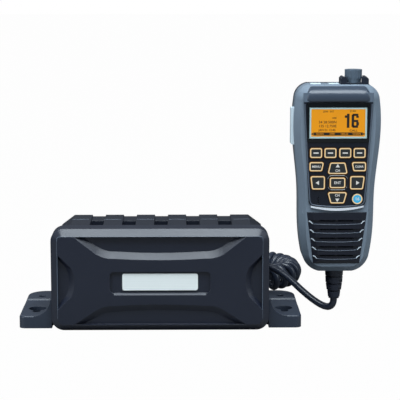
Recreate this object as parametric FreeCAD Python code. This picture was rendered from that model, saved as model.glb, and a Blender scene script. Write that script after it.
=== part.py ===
import FreeCAD, Part
import math
import os
from FreeCAD import Vector

os.makedirs("parts", exist_ok=True)

# Marine radio: a box with a finned case and two mounting ears, a handset in the air beside it,
# and a curly cord between them. Sizes in mm, X to the right, Y to the back, Z up from the table.
# X = 0 is the middle of the box, Y = 0 the middle of its four mounting holes.

# Front panel
panel_width = 172.0
panel_height = 81.6
panel_depth = 22.0
panel_front = -60.0
panel_corner = 10.0
panel_chamfer = 5.5
panel_wall = 6.0
panel_side = 5.5
face_rim = 5.2
field_depth = 3.6
field_slope = 5.2
field_middle = 39.7
field_waist = 17.8
field_corner = 18.0
field_edge_gap = 0.4
side_field_width = 13.8
side_field_slope = 4.4
side_field_spread = 22.8
side_field_taper = 3.2
recess_width = 79.0
recess_height = 17.0
recess_depth = 2.0
recess_middle = 39.5
recess_lip = 1.6
name_plate_width = 59.4
name_plate_height = 13.4
name_plate_thickness = 0.9

# Finned case and rear cover
case_inset = 1.5
case_depth = 63.5
case_top = 74.8
case_wall = 4.5
top_chamfer = 10.8
top_chamfer_drop = 8.1
ridge_count = 6
ridge_width = 15.2
valley_depth = 8.0
cover_depth = 22.5
cover_valley = 1.3
cover_wall = 3.5
boss_size = 9.0
gasket_width = 2.0
gasket_thickness = 1.5

# Base with its two mounting ears
base_thickness = 3.0
overall_width = 225.0
ear_front = -48.3
ear_back = 43.0
ear_height = 10.0
ear_front_corner = 5.0
ear_rear_corner = 15.0
ear_rim = 1.4
ear_dip = 1.4
ear_dip_length = 24.0
gusset_radius = 13.0
gusset_thickness = 5.5
hole_spacing = 200.0
hole_rear_y = 22.0
hole_rear_radius = 3.0
keyhole_y = -22.0
keyhole_radius = 7.0
keyhole_slot = 6.0
keyhole_reach = 13.0

# Screws, boards and sockets of the main unit
screw_radius = 2.0
screw_head_radius = 4.0
screw_head_height = 2.6
screw_gap = 0.1
screw_bite = 8.0
board_side_gap = 1.0
board_length = 64.0
board_thickness = 1.6
board_post = 6.0
board_post_radius = 3.5
board_screw_inset = 6.0
small_screw_radius = 1.5
amplifier_size = (46.0, 20.0, 9.0)
pad_thickness = 1.5
can_size = (52.0, 34.0, 9.0)
can_wall = 0.8
socket_flange = 2.0
antenna_flange = 25.4
antenna_radius = 7.9
antenna_length = 18.0
antenna_bore = 3.5
antenna_inset = 36.5
antenna_z = 52.0
gland_radius = 9.0
gland_length = 12.0
gland_bore = 4.0
gland_x = 10.0
gland_z = 53.0
accessory_radius = 7.0
accessory_length = 6.0
accessory_inset = 26.5
accessory_z = (28.0, 52.0)
ground_radius = 2.0
ground_length = 9.0
ground_inset = 26.5
ground_z = 12.0
handset_socket_radius = 11.0
handset_socket_x = -33.0
handset_socket_z = 18.0

# Handset
handset_x = 143.5
handset_front = -9.0
handset_seam = 14.0
handset_back = 30.0
handset_top = 190.0
handset_bottom = 36.2
handset_top_half = 24.0
handset_bottom_half = 13.5
shoulder_point = (30.6, 3.8)
chin_point = (22.4, 4.6)
side_end_high = (34.2, 12.0)
side_points = ((35.1, 43.0), (30.9, 87.0), (30.4, 113.0))
side_end_low = (27.4, 14.0)
handset_bevel = 5.0
handset_bevel_depth = 7.0
rear_bevel = 6.0
rear_bevel_depth = 8.0
shell_wall = 2.5
shell_side = 3.0
seal_width = 1.2
seal_thickness = 1.2
key_panel_thickness = 1.2
key_panel_top = 184.0
key_proud = 0.9
key_clearance = 0.3
key_travel = 0.6
key_flange = 0.6
key_flange_reach = 0.6
key_corner = 1.6
soft_key_places = (-17.7, -6.1, 5.9, 17.5)
soft_key_z = 135.35
soft_key_size = (10.0, 8.3)
menu_key_corners = [(-23.05, 120.3), (-12.6, 120.3), (-10.95, 128.1), (-23.05, 128.1)]
up_key_corners = [(-8.35, 118.1), (8.35, 118.1), (6.2, 127.7), (-6.2, 127.7)]
left_key_corners = [(-20.8, 105.4), (-10.1, 105.4), (-10.1, 116.6), (-22.3, 116.6)]
enter_key_z = 110.95
enter_key_size = (12.9, 8.9)
channel_key_x = 16.2
channel_key_z = 97.7
channel_key_radius = 4.5
down_key_corners = [(-5.6, 93.9), (5.6, 93.9), (8.25, 103.5), (-8.25, 103.5)]
mat_thickness = 1.0
handset_board_thickness = 1.6
window_width = 50.6
window_height = 32.6
window_middle = 159.9
window_proud = 0.3
lcd_width = 46.5
lcd_height = 25.1
lcd_middle = 159.65
lcd_rim = 1.4
plateau_height = 2.0
plateau_top = 86.5
trim_width = 43.0
trim_gap = 1.4
plateau_bottom = 44.0
plateau_top_width = 49.0
plateau_bottom_width = 38.0
plateau_bevel = 4.6
groove_count = 5
groove_pitch = 7.2
groove_first = 79.6
groove_height = 2.6
groove_depth = 1.1
slot_height = 1.2
slot_width = 13.0
speaker_radius = 17.0
speaker_z = 66.0
speaker_depth = 9.0
mesh_thickness = 0.4
microphone_radius = 3.0
port_radius = 0.6
microphone_x = -15.5
microphone_z = 96.3
cord_axis_y = 6.0
knob_x = 13.3
knob_radius = 7.1
knob_taper = 0.9
knob_height = 10.8
knob_gap = 0.8
shaft_radius = 3.0
shaft_fit = 0.05
guard_left = 2.4
guard_right = 25.1
guard_height = 6.1
guard_clearance = 1.2
top_key_size = (8.6, 8.0)
top_key_places = (-17.5, -2.6)
top_key_proud = 0.5
top_key_travel = 0.5
ptt_height = 30.0
ptt_depth = 11.0
ptt_middle = 156.1
ptt_outer = 37.6
ptt_inner = 31.0
ptt_travel = 1.2
handset_screw_radius = 1.25
handset_screw_head = 2.6
handset_boss_radius = 3.0
handset_screw_places = ((26.0, 177.0), (25.0, 86.0), (14.0, 49.0))
stud_neck = 5.0
stud_head = 8.0
stud_z = 140.0

# Strain relief and cord
relief_end = 11.8
relief_radii = (7.5, 7.2, 6.7, 5.4)
relief_groove = 1.3
relief_neck = 4.0
cord_diameter = 5.8
coil_outer = 23.4
floor_gap = 0.1
coil_start = (5.0, 96.0)
bend_centre = (80.0, 114.5)
bend_radius = 33.5
coil_end_x = -30.0
turns_near = 11
turns_bend = 13
turns_far = 17
plug_ring_radius = 9.5
plug_ring_length = 14.0
plug_boot_length = 20.0

# Places that follow from the sizes above
panel_back = panel_front + panel_depth
case_back = panel_back + case_depth
cover_back = case_back + cover_depth
case_half = panel_width / 2 - case_inset
case_inside = case_half - case_wall
case_floor = base_thickness
cavity_floor = case_floor + case_wall
cavity_roof = case_top - valley_depth - case_wall
boss_x = case_inside - boss_size / 2
boss_low = cavity_floor + boss_size / 2
boss_high = cavity_roof - boss_size / 2
board_width = 2 * (boss_x - boss_size / 2 - board_side_gap)
antenna_x = case_half - antenna_inset
accessory_x = accessory_inset - case_half
ground_x = case_half - ground_inset
key_panel_front = handset_front - key_panel_thickness
key_top = key_panel_front - key_proud
shell_inner = handset_front + shell_wall
key_flange_front = shell_inner + key_clearance
mat_front = key_flange_front + key_flange + key_travel + key_clearance
handset_board_front = mat_front + mat_thickness
handset_board_back = handset_board_front + handset_board_thickness
shell_roof = handset_top - shell_side
cord_radius = cord_diameter / 2
floor_z = cord_radius + floor_gap
turn_radius = coil_outer / 2 - cord_radius
coil_axis_z = turn_radius + floor_z


def box(x0, x1, y0, y1, z0, z1):
    return Part.makeBox(x1 - x0, y1 - y0, z1 - z0, Vector(x0, y0, z0))


def rod(radius, start, end):
    start = Vector(*start)
    axis = Vector(*end).sub(start)
    return Part.makeCylinder(radius, axis.Length, start, axis)


def outline(points, y):
    """A closed wire at depth y. A point with a third value is the middle of an arc."""
    edges = []
    ends = [i for i, point in enumerate(points) if len(point) == 2]
    for n, i in enumerate(ends):
        j = ends[(n + 1) % len(ends)]
        start = Vector(points[i][0], y, points[i][1])
        end = Vector(points[j][0], y, points[j][1])
        if (j - i) % len(points) == 2:
            middle = points[(i + 1) % len(points)]
            edges.append(Part.Arc(start, Vector(middle[0], y, middle[1]), end).toShape())
        else:
            edges.append(Part.LineSegment(start, end).toShape())
    return Part.Wire(edges)


def prism(points, y0, y1):
    return Part.Face(outline(points, y0)).extrude(Vector(0, y1 - y0, 0))


def loft(points_a, y_a, points_b, y_b):
    return Part.makeLoft([outline(points_a, y_a), outline(points_b, y_b)], True, True)


def rectangle(x, z, width, height):
    return [
        (x - width / 2, z - height / 2),
        (x + width / 2, z - height / 2),
        (x + width / 2, z + height / 2),
        (x - width / 2, z + height / 2),
    ]


def corner_frame(corners, i):
    """A corner, the middle direction of its angle, and half of that angle."""
    here = Vector(corners[i][0], 0, corners[i][1])
    before = Vector(corners[i - 1][0], 0, corners[i - 1][1]).sub(here).normalize()
    after_point = corners[(i + 1) % len(corners)]
    after = Vector(after_point[0], 0, after_point[1]).sub(here).normalize()
    half = before.getAngle(after) / 2
    return here, before, after, before.add(after).normalize(), half


def grow(corners, amount):
    """A convex outline with every side moved outwards."""
    result = []
    for i in range(len(corners)):
        here, _, _, inward, half = corner_frame(corners, i)
        moved = here.sub(inward * (amount / math.sin(half)))
        result.append((moved.x, moved.z))
    return result


def rounded(corners, radius):
    """A convex outline with an arc at each corner."""
    result = []
    for i in range(len(corners)):
        here, before, after, inward, half = corner_frame(corners, i)
        reach = radius / math.tan(half)
        start = here + before * reach
        end = here + after * reach
        middle = here + inward * (radius / math.sin(half) - radius)
        result += [(start.x, start.z), (middle.x, middle.z, "via"), (end.x, end.z)]
    return result


def joined(first, *others):
    shape = first
    for other in others:
        shape = shape.fuse(other)
    return shape.removeSplitter()


def without(shape, *tools):
    for tool in tools:
        shape = shape.cut(tool)
    return shape


def save(name, shape):
    shape.exportStep("parts/" + name + ".step")


# Front panel of the main unit


def wide_field(edge, drawn_in):
    """Upper hollow about the middle. edge is its rim's height, drawn_in how far it is sloped."""
    top_x = panel_width / 2 - field_corner - drawn_in * 1.3
    knee_x = panel_width / 2 - field_corner - 17.5 - drawn_in * 0.35
    low = field_middle + field_waist + drawn_in
    return [
        (-top_x, edge),
        (-knee_x, low + 4.8),
        (-knee_x + 6.0, low + 2.1, "via"),
        (-knee_x + 14.5, low + 1.2),
        (0.0, low, "via"),
        (knee_x - 14.5, low + 1.2),
        (knee_x - 6.0, low + 2.1, "via"),
        (knee_x, low + 4.8),
        (top_x, edge),
    ]


def side_field(depth_in, spread):
    """Outline of the left hollow: its reach towards the middle and its half height at the rim."""
    edge = -(panel_width / 2 - face_rim + 0.2)
    reach = edge + depth_in
    knee = 11.5
    return [
        (edge, field_middle + spread),
        (reach - 2.6, field_middle + knee),
        (reach, field_middle, "via"),
        (reach - 2.6, field_middle - knee),
        (edge, field_middle - spread),
    ]


def panel_fields():
    """The four hollows that leave the raised cross on the front."""
    floor = panel_front + field_depth
    high_edge = panel_height - face_rim - field_edge_gap
    low_edge = 2 * field_middle - face_rim - field_edge_gap
    upper = loft(
        wide_field(high_edge, 0.0), panel_front, wide_field(high_edge, field_slope), floor,
    )
    lower = loft(
        wide_field(low_edge, 0.0), panel_front, wide_field(low_edge, field_slope), floor,
    )
    lower = lower.mirror(Vector(0, 0, field_middle), Vector(0, 0, 1))
    left = loft(
        side_field(side_field_width, side_field_spread), panel_front,
        side_field(side_field_width - side_field_slope, side_field_spread - side_field_taper), floor,
    )
    return upper, lower, left, left.mirror(Vector(0, 0, 0), Vector(1, 0, 0))


def front_panel():
    corners = rectangle(0, panel_height / 2, panel_width, panel_height)
    body = prism(rounded(corners, panel_corner), panel_front, panel_back)
    front_edges = [
        edge for edge in body.Edges
        if all(abs(vertex.Y - panel_front) < 1e-6 for vertex in edge.Vertexes)
    ]
    body = body.makeChamfer(panel_chamfer, front_edges)
    recess = rectangle(0, recess_middle, recess_width, recess_height)
    bottom = panel_front + recess_depth
    pocket = prism(rounded(recess, 3.0), panel_front, bottom)
    low_edge = recess_middle - recess_height / 2
    half = recess_width / 2 - 3.0
    lip = loft(
        [(-half, low_edge), (half, low_edge), (half, low_edge + 1.0), (-half, low_edge + 1.0)],
        bottom,
        [
            (-half, low_edge - recess_lip), (half, low_edge - recess_lip),
            (half, low_edge + 1.0), (-half, low_edge + 1.0),
        ],
        panel_front,
    )
    inside = box(
        -case_inside, case_inside, panel_front + panel_wall, panel_back,
        panel_side, panel_height - panel_side,
    )
    body = without(body, *panel_fields(), pocket, lip, inside)
    for x in (-boss_x, boss_x):
        for z in (boss_low, boss_high):
            half_boss = boss_size / 2
            post = box(
                x - half_boss, x + half_boss, panel_front + panel_wall, panel_back,
                z - half_boss, z + half_boss,
            )
            body = body.fuse(post)
            hole = rod(
                screw_radius + screw_gap, (x, panel_back, z),
                (x, panel_back - screw_bite - 1.0, z),
            )
            body = body.cut(hole)
    return body.removeSplitter()


def name_plate():
    back = panel_front + recess_depth
    corners = rectangle(0, recess_middle + 0.3, name_plate_width, name_plate_height)
    return prism(rounded(corners, 1.7), back - name_plate_thickness, back)


# Finned case, rear cover and gaskets


def case_outline(valley):
    """Outline of the case seen from the front, with its ridges along the top."""
    span = case_half - top_chamfer
    pitch = (2 * span - ridge_width) / (ridge_count - 1)
    points = [
        (-case_half, case_floor),
        (-case_half, case_top - top_chamfer_drop),
    ]
    draft = min(1.0, valley / 4)
    for n in range(ridge_count):
        left = -span + n * pitch
        right = left + ridge_width
        if n > 0:
            points.append((left - draft, case_top - valley))
        points.append((left, case_top))
        points.append((right, case_top))
        if n < ridge_count - 1:
            points.append((right + draft, case_top - valley))
    points += [
        (case_half, case_top - top_chamfer_drop),
        (case_half, case_floor),
    ]
    return points


def corner_posts(y0, y1):
    half = boss_size / 2
    return [
        box(x - half, x + half, y0, y1, z - half, z + half)
        for x in (-boss_x, boss_x)
        for z in (boss_low, boss_high)
    ]


def screw_holes(y0, y1):
    return [
        rod(screw_radius + screw_gap, (x, y0, z), (x, y1, z))
        for x in (-boss_x, boss_x)
        for z in (boss_low, boss_high)
    ]


def gasket_ring(y0, y1):
    margin = (case_wall - gasket_width) / 2
    high = cavity_roof + case_wall - margin
    low = case_floor + margin
    half = case_half - margin
    outer = box(-half, half, y0, y1, low, high)
    inner = box(
        -half + gasket_width, half - gasket_width, y0, y1,
        low + gasket_width, high - gasket_width,
    )
    return outer.cut(inner)


def heat_block(z0, z1):
    """The place under the case's roof where the amplifier gives off its heat."""
    width, length, _ = amplifier_size
    middle = -board_width / 4
    return box(middle - width / 2, middle + width / 2, -length / 2, length / 2, z0, z1)


def board_top():
    return case_floor + case_wall + board_post + board_thickness


def case():
    body = prism(case_outline(valley_depth), panel_back, case_back)
    inside = box(-case_inside, case_inside, panel_back, case_back, cavity_floor, cavity_roof)
    body = body.cut(inside)
    block_foot = board_top() + amplifier_size[2] + pad_thickness
    body = joined(body, *corner_posts(panel_back, case_back), heat_block(block_foot, cavity_roof + 0.5))
    posts = [
        rod(board_post_radius, (x, y, cavity_floor - 0.5), (x, y, cavity_floor + board_post))
        for x, y in board_holes()
    ]
    body = joined(body, *posts)
    drills = [
        rod(small_screw_radius + screw_gap, (x, y, cavity_floor + 1.0), (x, y, board_top()))
        for x, y in board_holes()
    ]
    foot_drills = [
        rod(small_screw_radius + screw_gap, (x, y, case_floor), (x, y, case_floor + 3.5))
        for x, y in base_holes()
    ]
    front_groove = gasket_ring(panel_back, panel_back + gasket_thickness)
    rear_groove = gasket_ring(case_back - gasket_thickness, case_back)
    return without(
        body, *screw_holes(panel_back, case_back), *drills, *foot_drills,
        front_groove, rear_groove,
    )


def rear_cover():
    body = prism(case_outline(cover_valley), case_back, cover_back)
    rear_edges = [
        edge for edge in body.Edges
        if all(abs(vertex.Y - cover_back) < 1e-6 for vertex in edge.Vertexes)
        and edge.Length > case_wall * 4
    ]
    if rear_edges:
        body = body.makeChamfer(1.0, rear_edges[:1])
    inside = box(
        -case_inside, case_inside, case_back, cover_back - cover_wall,
        cavity_floor, cavity_roof,
    )
    body = body.cut(inside)
    body = joined(body, *corner_posts(case_back, cover_back - cover_wall + 0.5))
    wall = cover_back - cover_wall
    openings = [
        rod(radius + screw_gap, (x, wall - 1.0, z), (x, cover_back + 1.0, z))
        for x, z, radius in socket_barrels()
    ]
    return without(body, *screw_holes(case_back, cover_back), *openings)


# Base with the ears


def ear_right():
    """The right ear. Its front end stands beside the panel, the rest against the case."""
    outer = overall_width / 2
    ear = box(case_half, outer, ear_front, ear_back, 0, ear_height)
    upright = [
        edge for edge in ear.Edges
        if all(abs(vertex.X - outer) < 1e-6 for vertex in edge.Vertexes)
        and abs(edge.Vertexes[0].Z - edge.Vertexes[1].Z) > ear_height / 2
    ]
    front = [edge for edge in upright if edge.Vertexes[0].Y < 0]
    rear = [edge for edge in upright if edge.Vertexes[0].Y > 0]
    ear = ear.makeFillet(ear_front_corner, front)
    rear = [
        edge for edge in ear.Edges
        if all(abs(vertex.X - outer) < 1e-6 and vertex.Y > ear_back - 1.0 for vertex in edge.Vertexes)
    ]
    ear = ear.makeFillet(ear_rear_corner, rear)
    rim = [
        edge for edge in ear.Edges
        if all(abs(vertex.Z - ear_height) < 1e-6 for vertex in edge.Vertexes)
        and not all(abs(vertex.X - case_half) < 1e-6 for vertex in edge.Vertexes)
    ]
    ear = ear.makeFillet(ear_rim, rim)
    dip = box(
        case_half + 6.0, outer + 1.0, -ear_dip_length / 2 + 1.0, ear_dip_length / 2 + 1.0,
        ear_height - ear_dip, ear_height + 1.0,
    )
    dip = dip.makeChamfer(ear_dip * 0.9, [
        edge for edge in dip.Edges
        if all(abs(vertex.Z - ear_height + ear_dip) < 1e-6 for vertex in edge.Vertexes)
        and abs(edge.Vertexes[0].X - edge.Vertexes[1].X) > 1.0
    ])
    ear = ear.cut(dip)
    side = panel_width / 2 + 0.3
    ear = ear.cut(box(case_half - 1, side, ear_front - 1, panel_back, -1, ear_height + 1))
    top = ear_height + gusset_radius
    gusset = prism(
        [
            (side, ear_height - 2.0), (side + gusset_radius + 1.5, ear_height - 2.0),
            (side + gusset_radius + 1.5, ear_height),
            (
                side + 1.5 + gusset_radius * (1 - math.sqrt(0.5)),
                top - gusset_radius * math.sqrt(0.5), "via",
            ),
            (side + 1.5, top), (side, top),
        ],
        ear_front, ear_front + gusset_thickness,
    )
    return ear.fuse(gusset)


def keyhole(x, z0, z1):
    circle = rod(keyhole_radius, (x, keyhole_y, z0), (x, keyhole_y, z1))
    half = keyhole_slot / 2
    slot_end = keyhole_y - keyhole_reach + half
    slot = box(x - half, x + half, slot_end, keyhole_y, z0, z1)
    tip = rod(half, (x, slot_end, z0), (x, slot_end, z1))
    return circle.fuse(slot).fuse(tip)


def mounting_base():
    right = ear_right()
    left = right.mirror(Vector(0, 0, 0), Vector(1, 0, 0))
    plate = box(-case_half, case_half, panel_back, ear_back, 0, base_thickness)
    body = joined(plate, right, left)
    for x in (-hole_spacing / 2, hole_spacing / 2):
        body = body.cut(keyhole(x, -1, ear_height + 1))
        body = body.cut(rod(hole_rear_radius, (x, hole_rear_y, -1), (x, hole_rear_y, ear_height + 1)))
    for x, y in base_holes():
        body = body.cut(rod(small_screw_radius + screw_gap, (x, y, -1), (x, y, base_thickness + 1)))
        sink = Part.makeCone(
            small_screw_radius * 2 + screw_gap, small_screw_radius + screw_gap,
            small_screw_radius, Vector(x, y, 0), Vector(0, 0, 1),
        )
        body = body.cut(sink)
    return body


# Fasteners of the main unit


def base_holes():
    reach_x = case_half - 14.0
    return [(x, y) for x in (-reach_x, reach_x) for y in (panel_back + 12.0, case_back - 12.0)]


def board_holes():
    x = board_width / 2 - board_screw_inset
    y = board_length / 2 - board_screw_inset - 6.0
    return [(i * x, board_middle_y() + j * y) for i in (-1, 1) for j in (-1, 1)]


def board_middle_y():
    return (panel_back + case_back) / 2


def case_screws():
    screws = []
    for x in (-boss_x, boss_x):
        for z in (boss_low, boss_high):
            shaft = rod(screw_radius, (x, panel_back - screw_bite, z), (x, cover_back, z))
            head = rod(screw_head_radius, (x, cover_back, z), (x, cover_back + screw_head_height, z))
            drive = rod(screw_radius * 0.7, (x, cover_back + 1.2, z), (x, cover_back + 4.0, z))
            screws.append(shaft.fuse(head).cut(drive).removeSplitter())
    return Part.makeCompound(screws)


def base_screws():
    screws = []
    for x, y in base_holes():
        head = Part.makeCone(
            small_screw_radius * 2, small_screw_radius, small_screw_radius,
            Vector(x, y, 0), Vector(0, 0, 1),
        )
        shaft = rod(small_screw_radius, (x, y, small_screw_radius), (x, y, case_floor + 3.0))
        screws.append(head.fuse(shaft).removeSplitter())
    return Part.makeCompound(screws)


def board_screws():
    screws = []
    for x, y in board_holes():
        shaft = rod(small_screw_radius, (x, y, cavity_floor + 1.5), (x, y, board_top()))
        head = rod(small_screw_radius * 2, (x, y, board_top()), (x, y, board_top() + 1.8))
        screws.append(shaft.fuse(head).removeSplitter())
    return Part.makeCompound(screws)


# Electronics of the main unit


def main_board():
    middle = board_middle_y()
    half_x = board_width / 2
    half_y = board_length / 2
    low = board_top() - board_thickness
    board = box(-half_x, half_x, middle - half_y + 2, middle + half_y - 2, low, board_top())
    drills = [
        rod(small_screw_radius + screw_gap, (x, y, low - 1), (x, y, board_top() + 1))
        for x, y in board_holes()
    ]
    return without(board, *drills)


def power_amplifier():
    return heat_block(board_top(), board_top() + amplifier_size[2])


def thermal_pad():
    low = board_top() + amplifier_size[2]
    return heat_block(low, low + pad_thickness)


def shield_can():
    width, length, height = can_size
    x = board_width / 4 - 6.0
    y = board_middle_y() + 2.0
    low = board_top()
    outer = box(x - width / 2, x + width / 2, y - length / 2, y + length / 2, low, low + height)
    inner = box(
        x - width / 2 + can_wall, x + width / 2 - can_wall,
        y - length / 2 + can_wall, y + length / 2 - can_wall, low, low + height - can_wall,
    )
    return outer.cut(inner)


# Sockets on the rear cover


def socket_barrels():
    """Where a socket passes through the rear wall: its place and radius."""
    places = [
        (antenna_x, antenna_z, antenna_radius),
        (gland_x, gland_z, gland_radius - 2.0),
        (handset_socket_x, handset_socket_z, handset_socket_radius - 4.0),
    ]
    return places + [(accessory_x, z, accessory_radius - 1.5) for z in accessory_z]


def inner_barrel(x, z, radius):
    return rod(radius, (x, cover_back - cover_wall - 2.0, z), (x, cover_back + 0.5, z))


def antenna_socket():
    half = antenna_flange / 2
    flange = box(
        antenna_x - half, antenna_x + half, cover_back, cover_back + socket_flange,
        antenna_z - half, antenna_z + half,
    )
    tip = cover_back + socket_flange + antenna_length
    barrel = rod(antenna_radius, (antenna_x, cover_back, antenna_z), (antenna_x, tip, antenna_z))
    body = joined(flange, barrel, inner_barrel(antenna_x, antenna_z, antenna_radius))
    bore = rod(antenna_bore, (antenna_x, tip - 12.0, antenna_z), (antenna_x, tip + 1, antenna_z))
    return body.cut(bore)


def power_gland():
    x, z = gland_x, gland_z
    flange = rod(gland_radius + 3.0, (x, cover_back, z), (x, cover_back + socket_flange, z))
    nose = Part.makeCone(
        gland_radius, gland_bore + 2.0, gland_length,
        Vector(x, cover_back + socket_flange, z), Vector(0, 1, 0),
    )
    body = joined(flange, nose, inner_barrel(x, z, gland_radius - 2.0))
    end = cover_back + socket_flange + gland_length
    return body.cut(rod(gland_bore, (x, cover_back - 1, z), (x, end + 1, z)))


def handset_socket():
    x, z = handset_socket_x, handset_socket_z
    flange = rod(handset_socket_radius, (x, cover_back, z), (x, cover_back + socket_flange, z))
    return joined(flange, inner_barrel(x, z, handset_socket_radius - 4.0))


def accessory_sockets():
    sockets = []
    for z in accessory_z:
        x = accessory_x
        flange = rod(accessory_radius + 1.5, (x, cover_back, z), (x, cover_back + socket_flange, z))
        end = cover_back + socket_flange + accessory_length
        barrel = rod(accessory_radius, (x, cover_back, z), (x, end, z))
        body = joined(flange, barrel, inner_barrel(x, z, accessory_radius - 1.5))
        bore = rod(accessory_radius - 2.0, (x, end - 5.0, z), (x, end + 1, z))
        sockets.append(body.cut(bore))
    return Part.makeCompound(sockets)


def ground_terminal():
    x, z = ground_x, ground_z
    washer = rod(ground_radius * 2.4, (x, cover_back, z), (x, cover_back + 1.2, z))
    stud = rod(ground_radius, (x, cover_back, z), (x, cover_back + ground_length, z))
    nut = rod(ground_radius * 1.9, (x, cover_back + 1.2, z), (x, cover_back + 4.2, z))
    return joined(washer, stud, nut)


# Handset shells


def handset_outline(inset, y):
    """The handset's outline at depth y, drawn in by inset all round."""
    middle = handset_x
    top = handset_top - inset
    bottom = handset_bottom + inset
    slant = inset * math.sqrt(0.5)
    shoulder = (shoulder_point[0] - slant, handset_top - shoulder_point[1] - slant)
    chin = (chin_point[0] - slant, handset_bottom + chin_point[1] + slant)
    top_end = handset_top_half - inset * 0.4
    bottom_end = handset_bottom_half - inset * 0.4
    side = [(side_end_high[0] - inset, handset_top - side_end_high[1] - inset * 0.4)]
    side += [(half - inset, handset_top - drop) for half, drop in side_points]
    side.append((side_end_low[0] - inset, handset_bottom + side_end_low[1] + inset * 0.3))

    def at(point, sign):
        return Vector(middle + sign * point[0], y, point[1])

    edges = [Part.LineSegment(at((top_end, top), -1), at((top_end, top), 1)).toShape()]
    edges.append(Part.Arc(at((top_end, top), 1), at(shoulder, 1), at(side[0], 1)).toShape())
    right = Part.BSplineCurve()
    right.interpolate([at(point, 1) for point in side])
    edges.append(right.toShape())
    edges.append(Part.Arc(at(side[-1], 1), at(chin, 1), at((bottom_end, bottom), 1)).toShape())
    edges.append(Part.LineSegment(at((bottom_end, bottom), 1), at((bottom_end, bottom), -1)).toShape())
    edges.append(Part.Arc(at((bottom_end, bottom), -1), at(chin, -1), at(side[-1], -1)).toShape())
    left = Part.BSplineCurve()
    left.interpolate([at(point, -1) for point in reversed(side)])
    edges.append(left.toShape())
    edges.append(Part.Arc(at(side[0], -1), at(shoulder, -1), at((top_end, top), -1)).toShape())
    return Part.Wire(edges)


def stepped(sections):
    return Part.makeLoft([handset_outline(inset, y) for inset, y in sections], True, True)


def on_handset(points):
    """Moves an outline drawn about the handset's middle line to its place."""
    return [(point[0] + handset_x,) + tuple(point[1:]) for point in points]


def key_outlines():
    """Name and corners of each front key, about the handset's middle line."""
    keys = {}
    for n, x in enumerate(soft_key_places):
        keys["soft_key_" + str(n + 1)] = rectangle(x, soft_key_z, *soft_key_size)
    keys["menu_key"] = menu_key_corners
    keys["clear_key"] = [(-x, z) for x, z in reversed(menu_key_corners)]
    keys["up_key"] = up_key_corners
    keys["left_key"] = left_key_corners
    keys["right_key"] = [(-x, z) for x, z in reversed(left_key_corners)]
    keys["enter_key"] = rectangle(0, enter_key_z, *enter_key_size)
    keys["down_key"] = down_key_corners
    return keys


def key_solid(name, corners):
    """A key cap with a wider foot behind the shell's front wall."""
    if corners is None:
        x = handset_x + channel_key_x
        z = channel_key_z
        cap = rod(channel_key_radius, (x, key_top, z), (x, key_flange_front, z))
        foot_radius = channel_key_radius + key_flange_reach
        foot = rod(
            foot_radius, (x, key_flange_front, z), (x, key_flange_front + key_flange, z),
        )
        return joined(cap, foot)
    cap = prism(on_handset(rounded(corners, key_corner)), key_top, key_flange_front)
    top_edges = [
        edge for edge in cap.Edges
        if all(abs(vertex.Y - key_top) < 1e-6 for vertex in edge.Vertexes)
    ]
    cap = cap.makeChamfer(key_proud * 0.4, top_edges)
    wide = grow(corners, key_flange_reach)
    foot = prism(
        on_handset(rounded(wide, key_corner)), key_flange_front, key_flange_front + key_flange,
    )
    return joined(cap, foot)


def key_holes(y0, y1):
    holes = [
        prism(on_handset(rounded(grow(corners, key_clearance), key_corner)), y0, y1)
        for corners in key_outlines().values()
    ]
    x = handset_x + channel_key_x
    radius = channel_key_radius + key_clearance
    holes.append(rod(radius, (x, y0, channel_key_z), (x, y1, channel_key_z)))
    return holes


def relief_hole(z0, z1):
    return rod(relief_neck + screw_gap, (handset_x, cord_axis_y, z0), (handset_x, cord_axis_y, z1))


def top_key_middle_y():
    return handset_front + handset_bevel_depth + 7.5


def handset_boss_places():
    return [(sign * x, z) for x, z in handset_screw_places for sign in (-1, 1)]


def front_shell():
    body = stepped([
        (handset_bevel, handset_front), (0, handset_front + handset_bevel_depth), (0, handset_seam),
    ])
    hollow = stepped([
        (handset_bevel + 2.0, shell_inner),
        (shell_side, handset_front + handset_bevel_depth + 1.0),
        (shell_side, handset_seam),
    ])
    body = body.cut(hollow)
    posts = [
        rod(
            handset_boss_radius, (handset_x + x, shell_inner - 0.5, z),
            (handset_x + x, handset_seam, z),
        )
        for x, z in handset_boss_places()
    ]
    body = joined(body, *posts)
    drills = [
        rod(
            handset_screw_radius + screw_gap, (handset_x + x, handset_seam - 9.0, z),
            (handset_x + x, handset_seam, z),
        )
        for x, z in handset_boss_places()
    ]
    lcd_hole = prism(
        on_handset(rectangle(0, lcd_middle, lcd_width - 2 * lcd_rim, lcd_height - 2 * lcd_rim)),
        handset_front - 1, shell_inner + 1,
    )
    port_x = handset_x + microphone_x
    ports = [
        rod(
            port_radius, (port_x, handset_front - 1, microphone_z + dz),
            (port_x, shell_inner + 1, microphone_z + dz),
        )
        for dz in (-2.0, 0.0, 2.0)
    ]
    seal_groove = seal_ring(handset_seam - seal_thickness, handset_seam)
    shaft_hole = rod(
        shaft_radius + 0.4, (handset_x + knob_x, cord_axis_y, shell_roof - 1),
        (handset_x + knob_x, cord_axis_y, handset_top + 1),
    )
    top_holes = [
        box(
            handset_x + x - top_key_size[0] / 2 - key_clearance,
            handset_x + x + top_key_size[0] / 2 + key_clearance,
            top_key_middle_y() - top_key_size[1] / 2 - key_clearance,
            top_key_middle_y() + top_key_size[1] / 2 + key_clearance,
            shell_roof - 1, handset_top + 1,
        )
        for x in top_key_places
    ]
    ptt_hole = ptt_bar(key_clearance, ptt_outer + 2.0, ptt_inner - 3.0)
    return without(
        body, *drills, lcd_hole, *ports, seal_groove, shaft_hole, *top_holes, ptt_hole,
        *key_holes(handset_front - 1, shell_inner + 1), *grille_slots(handset_front - 1, shell_inner + 1),
        relief_hole(handset_bottom - 1, handset_bottom + shell_side + 1),
    )


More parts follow.
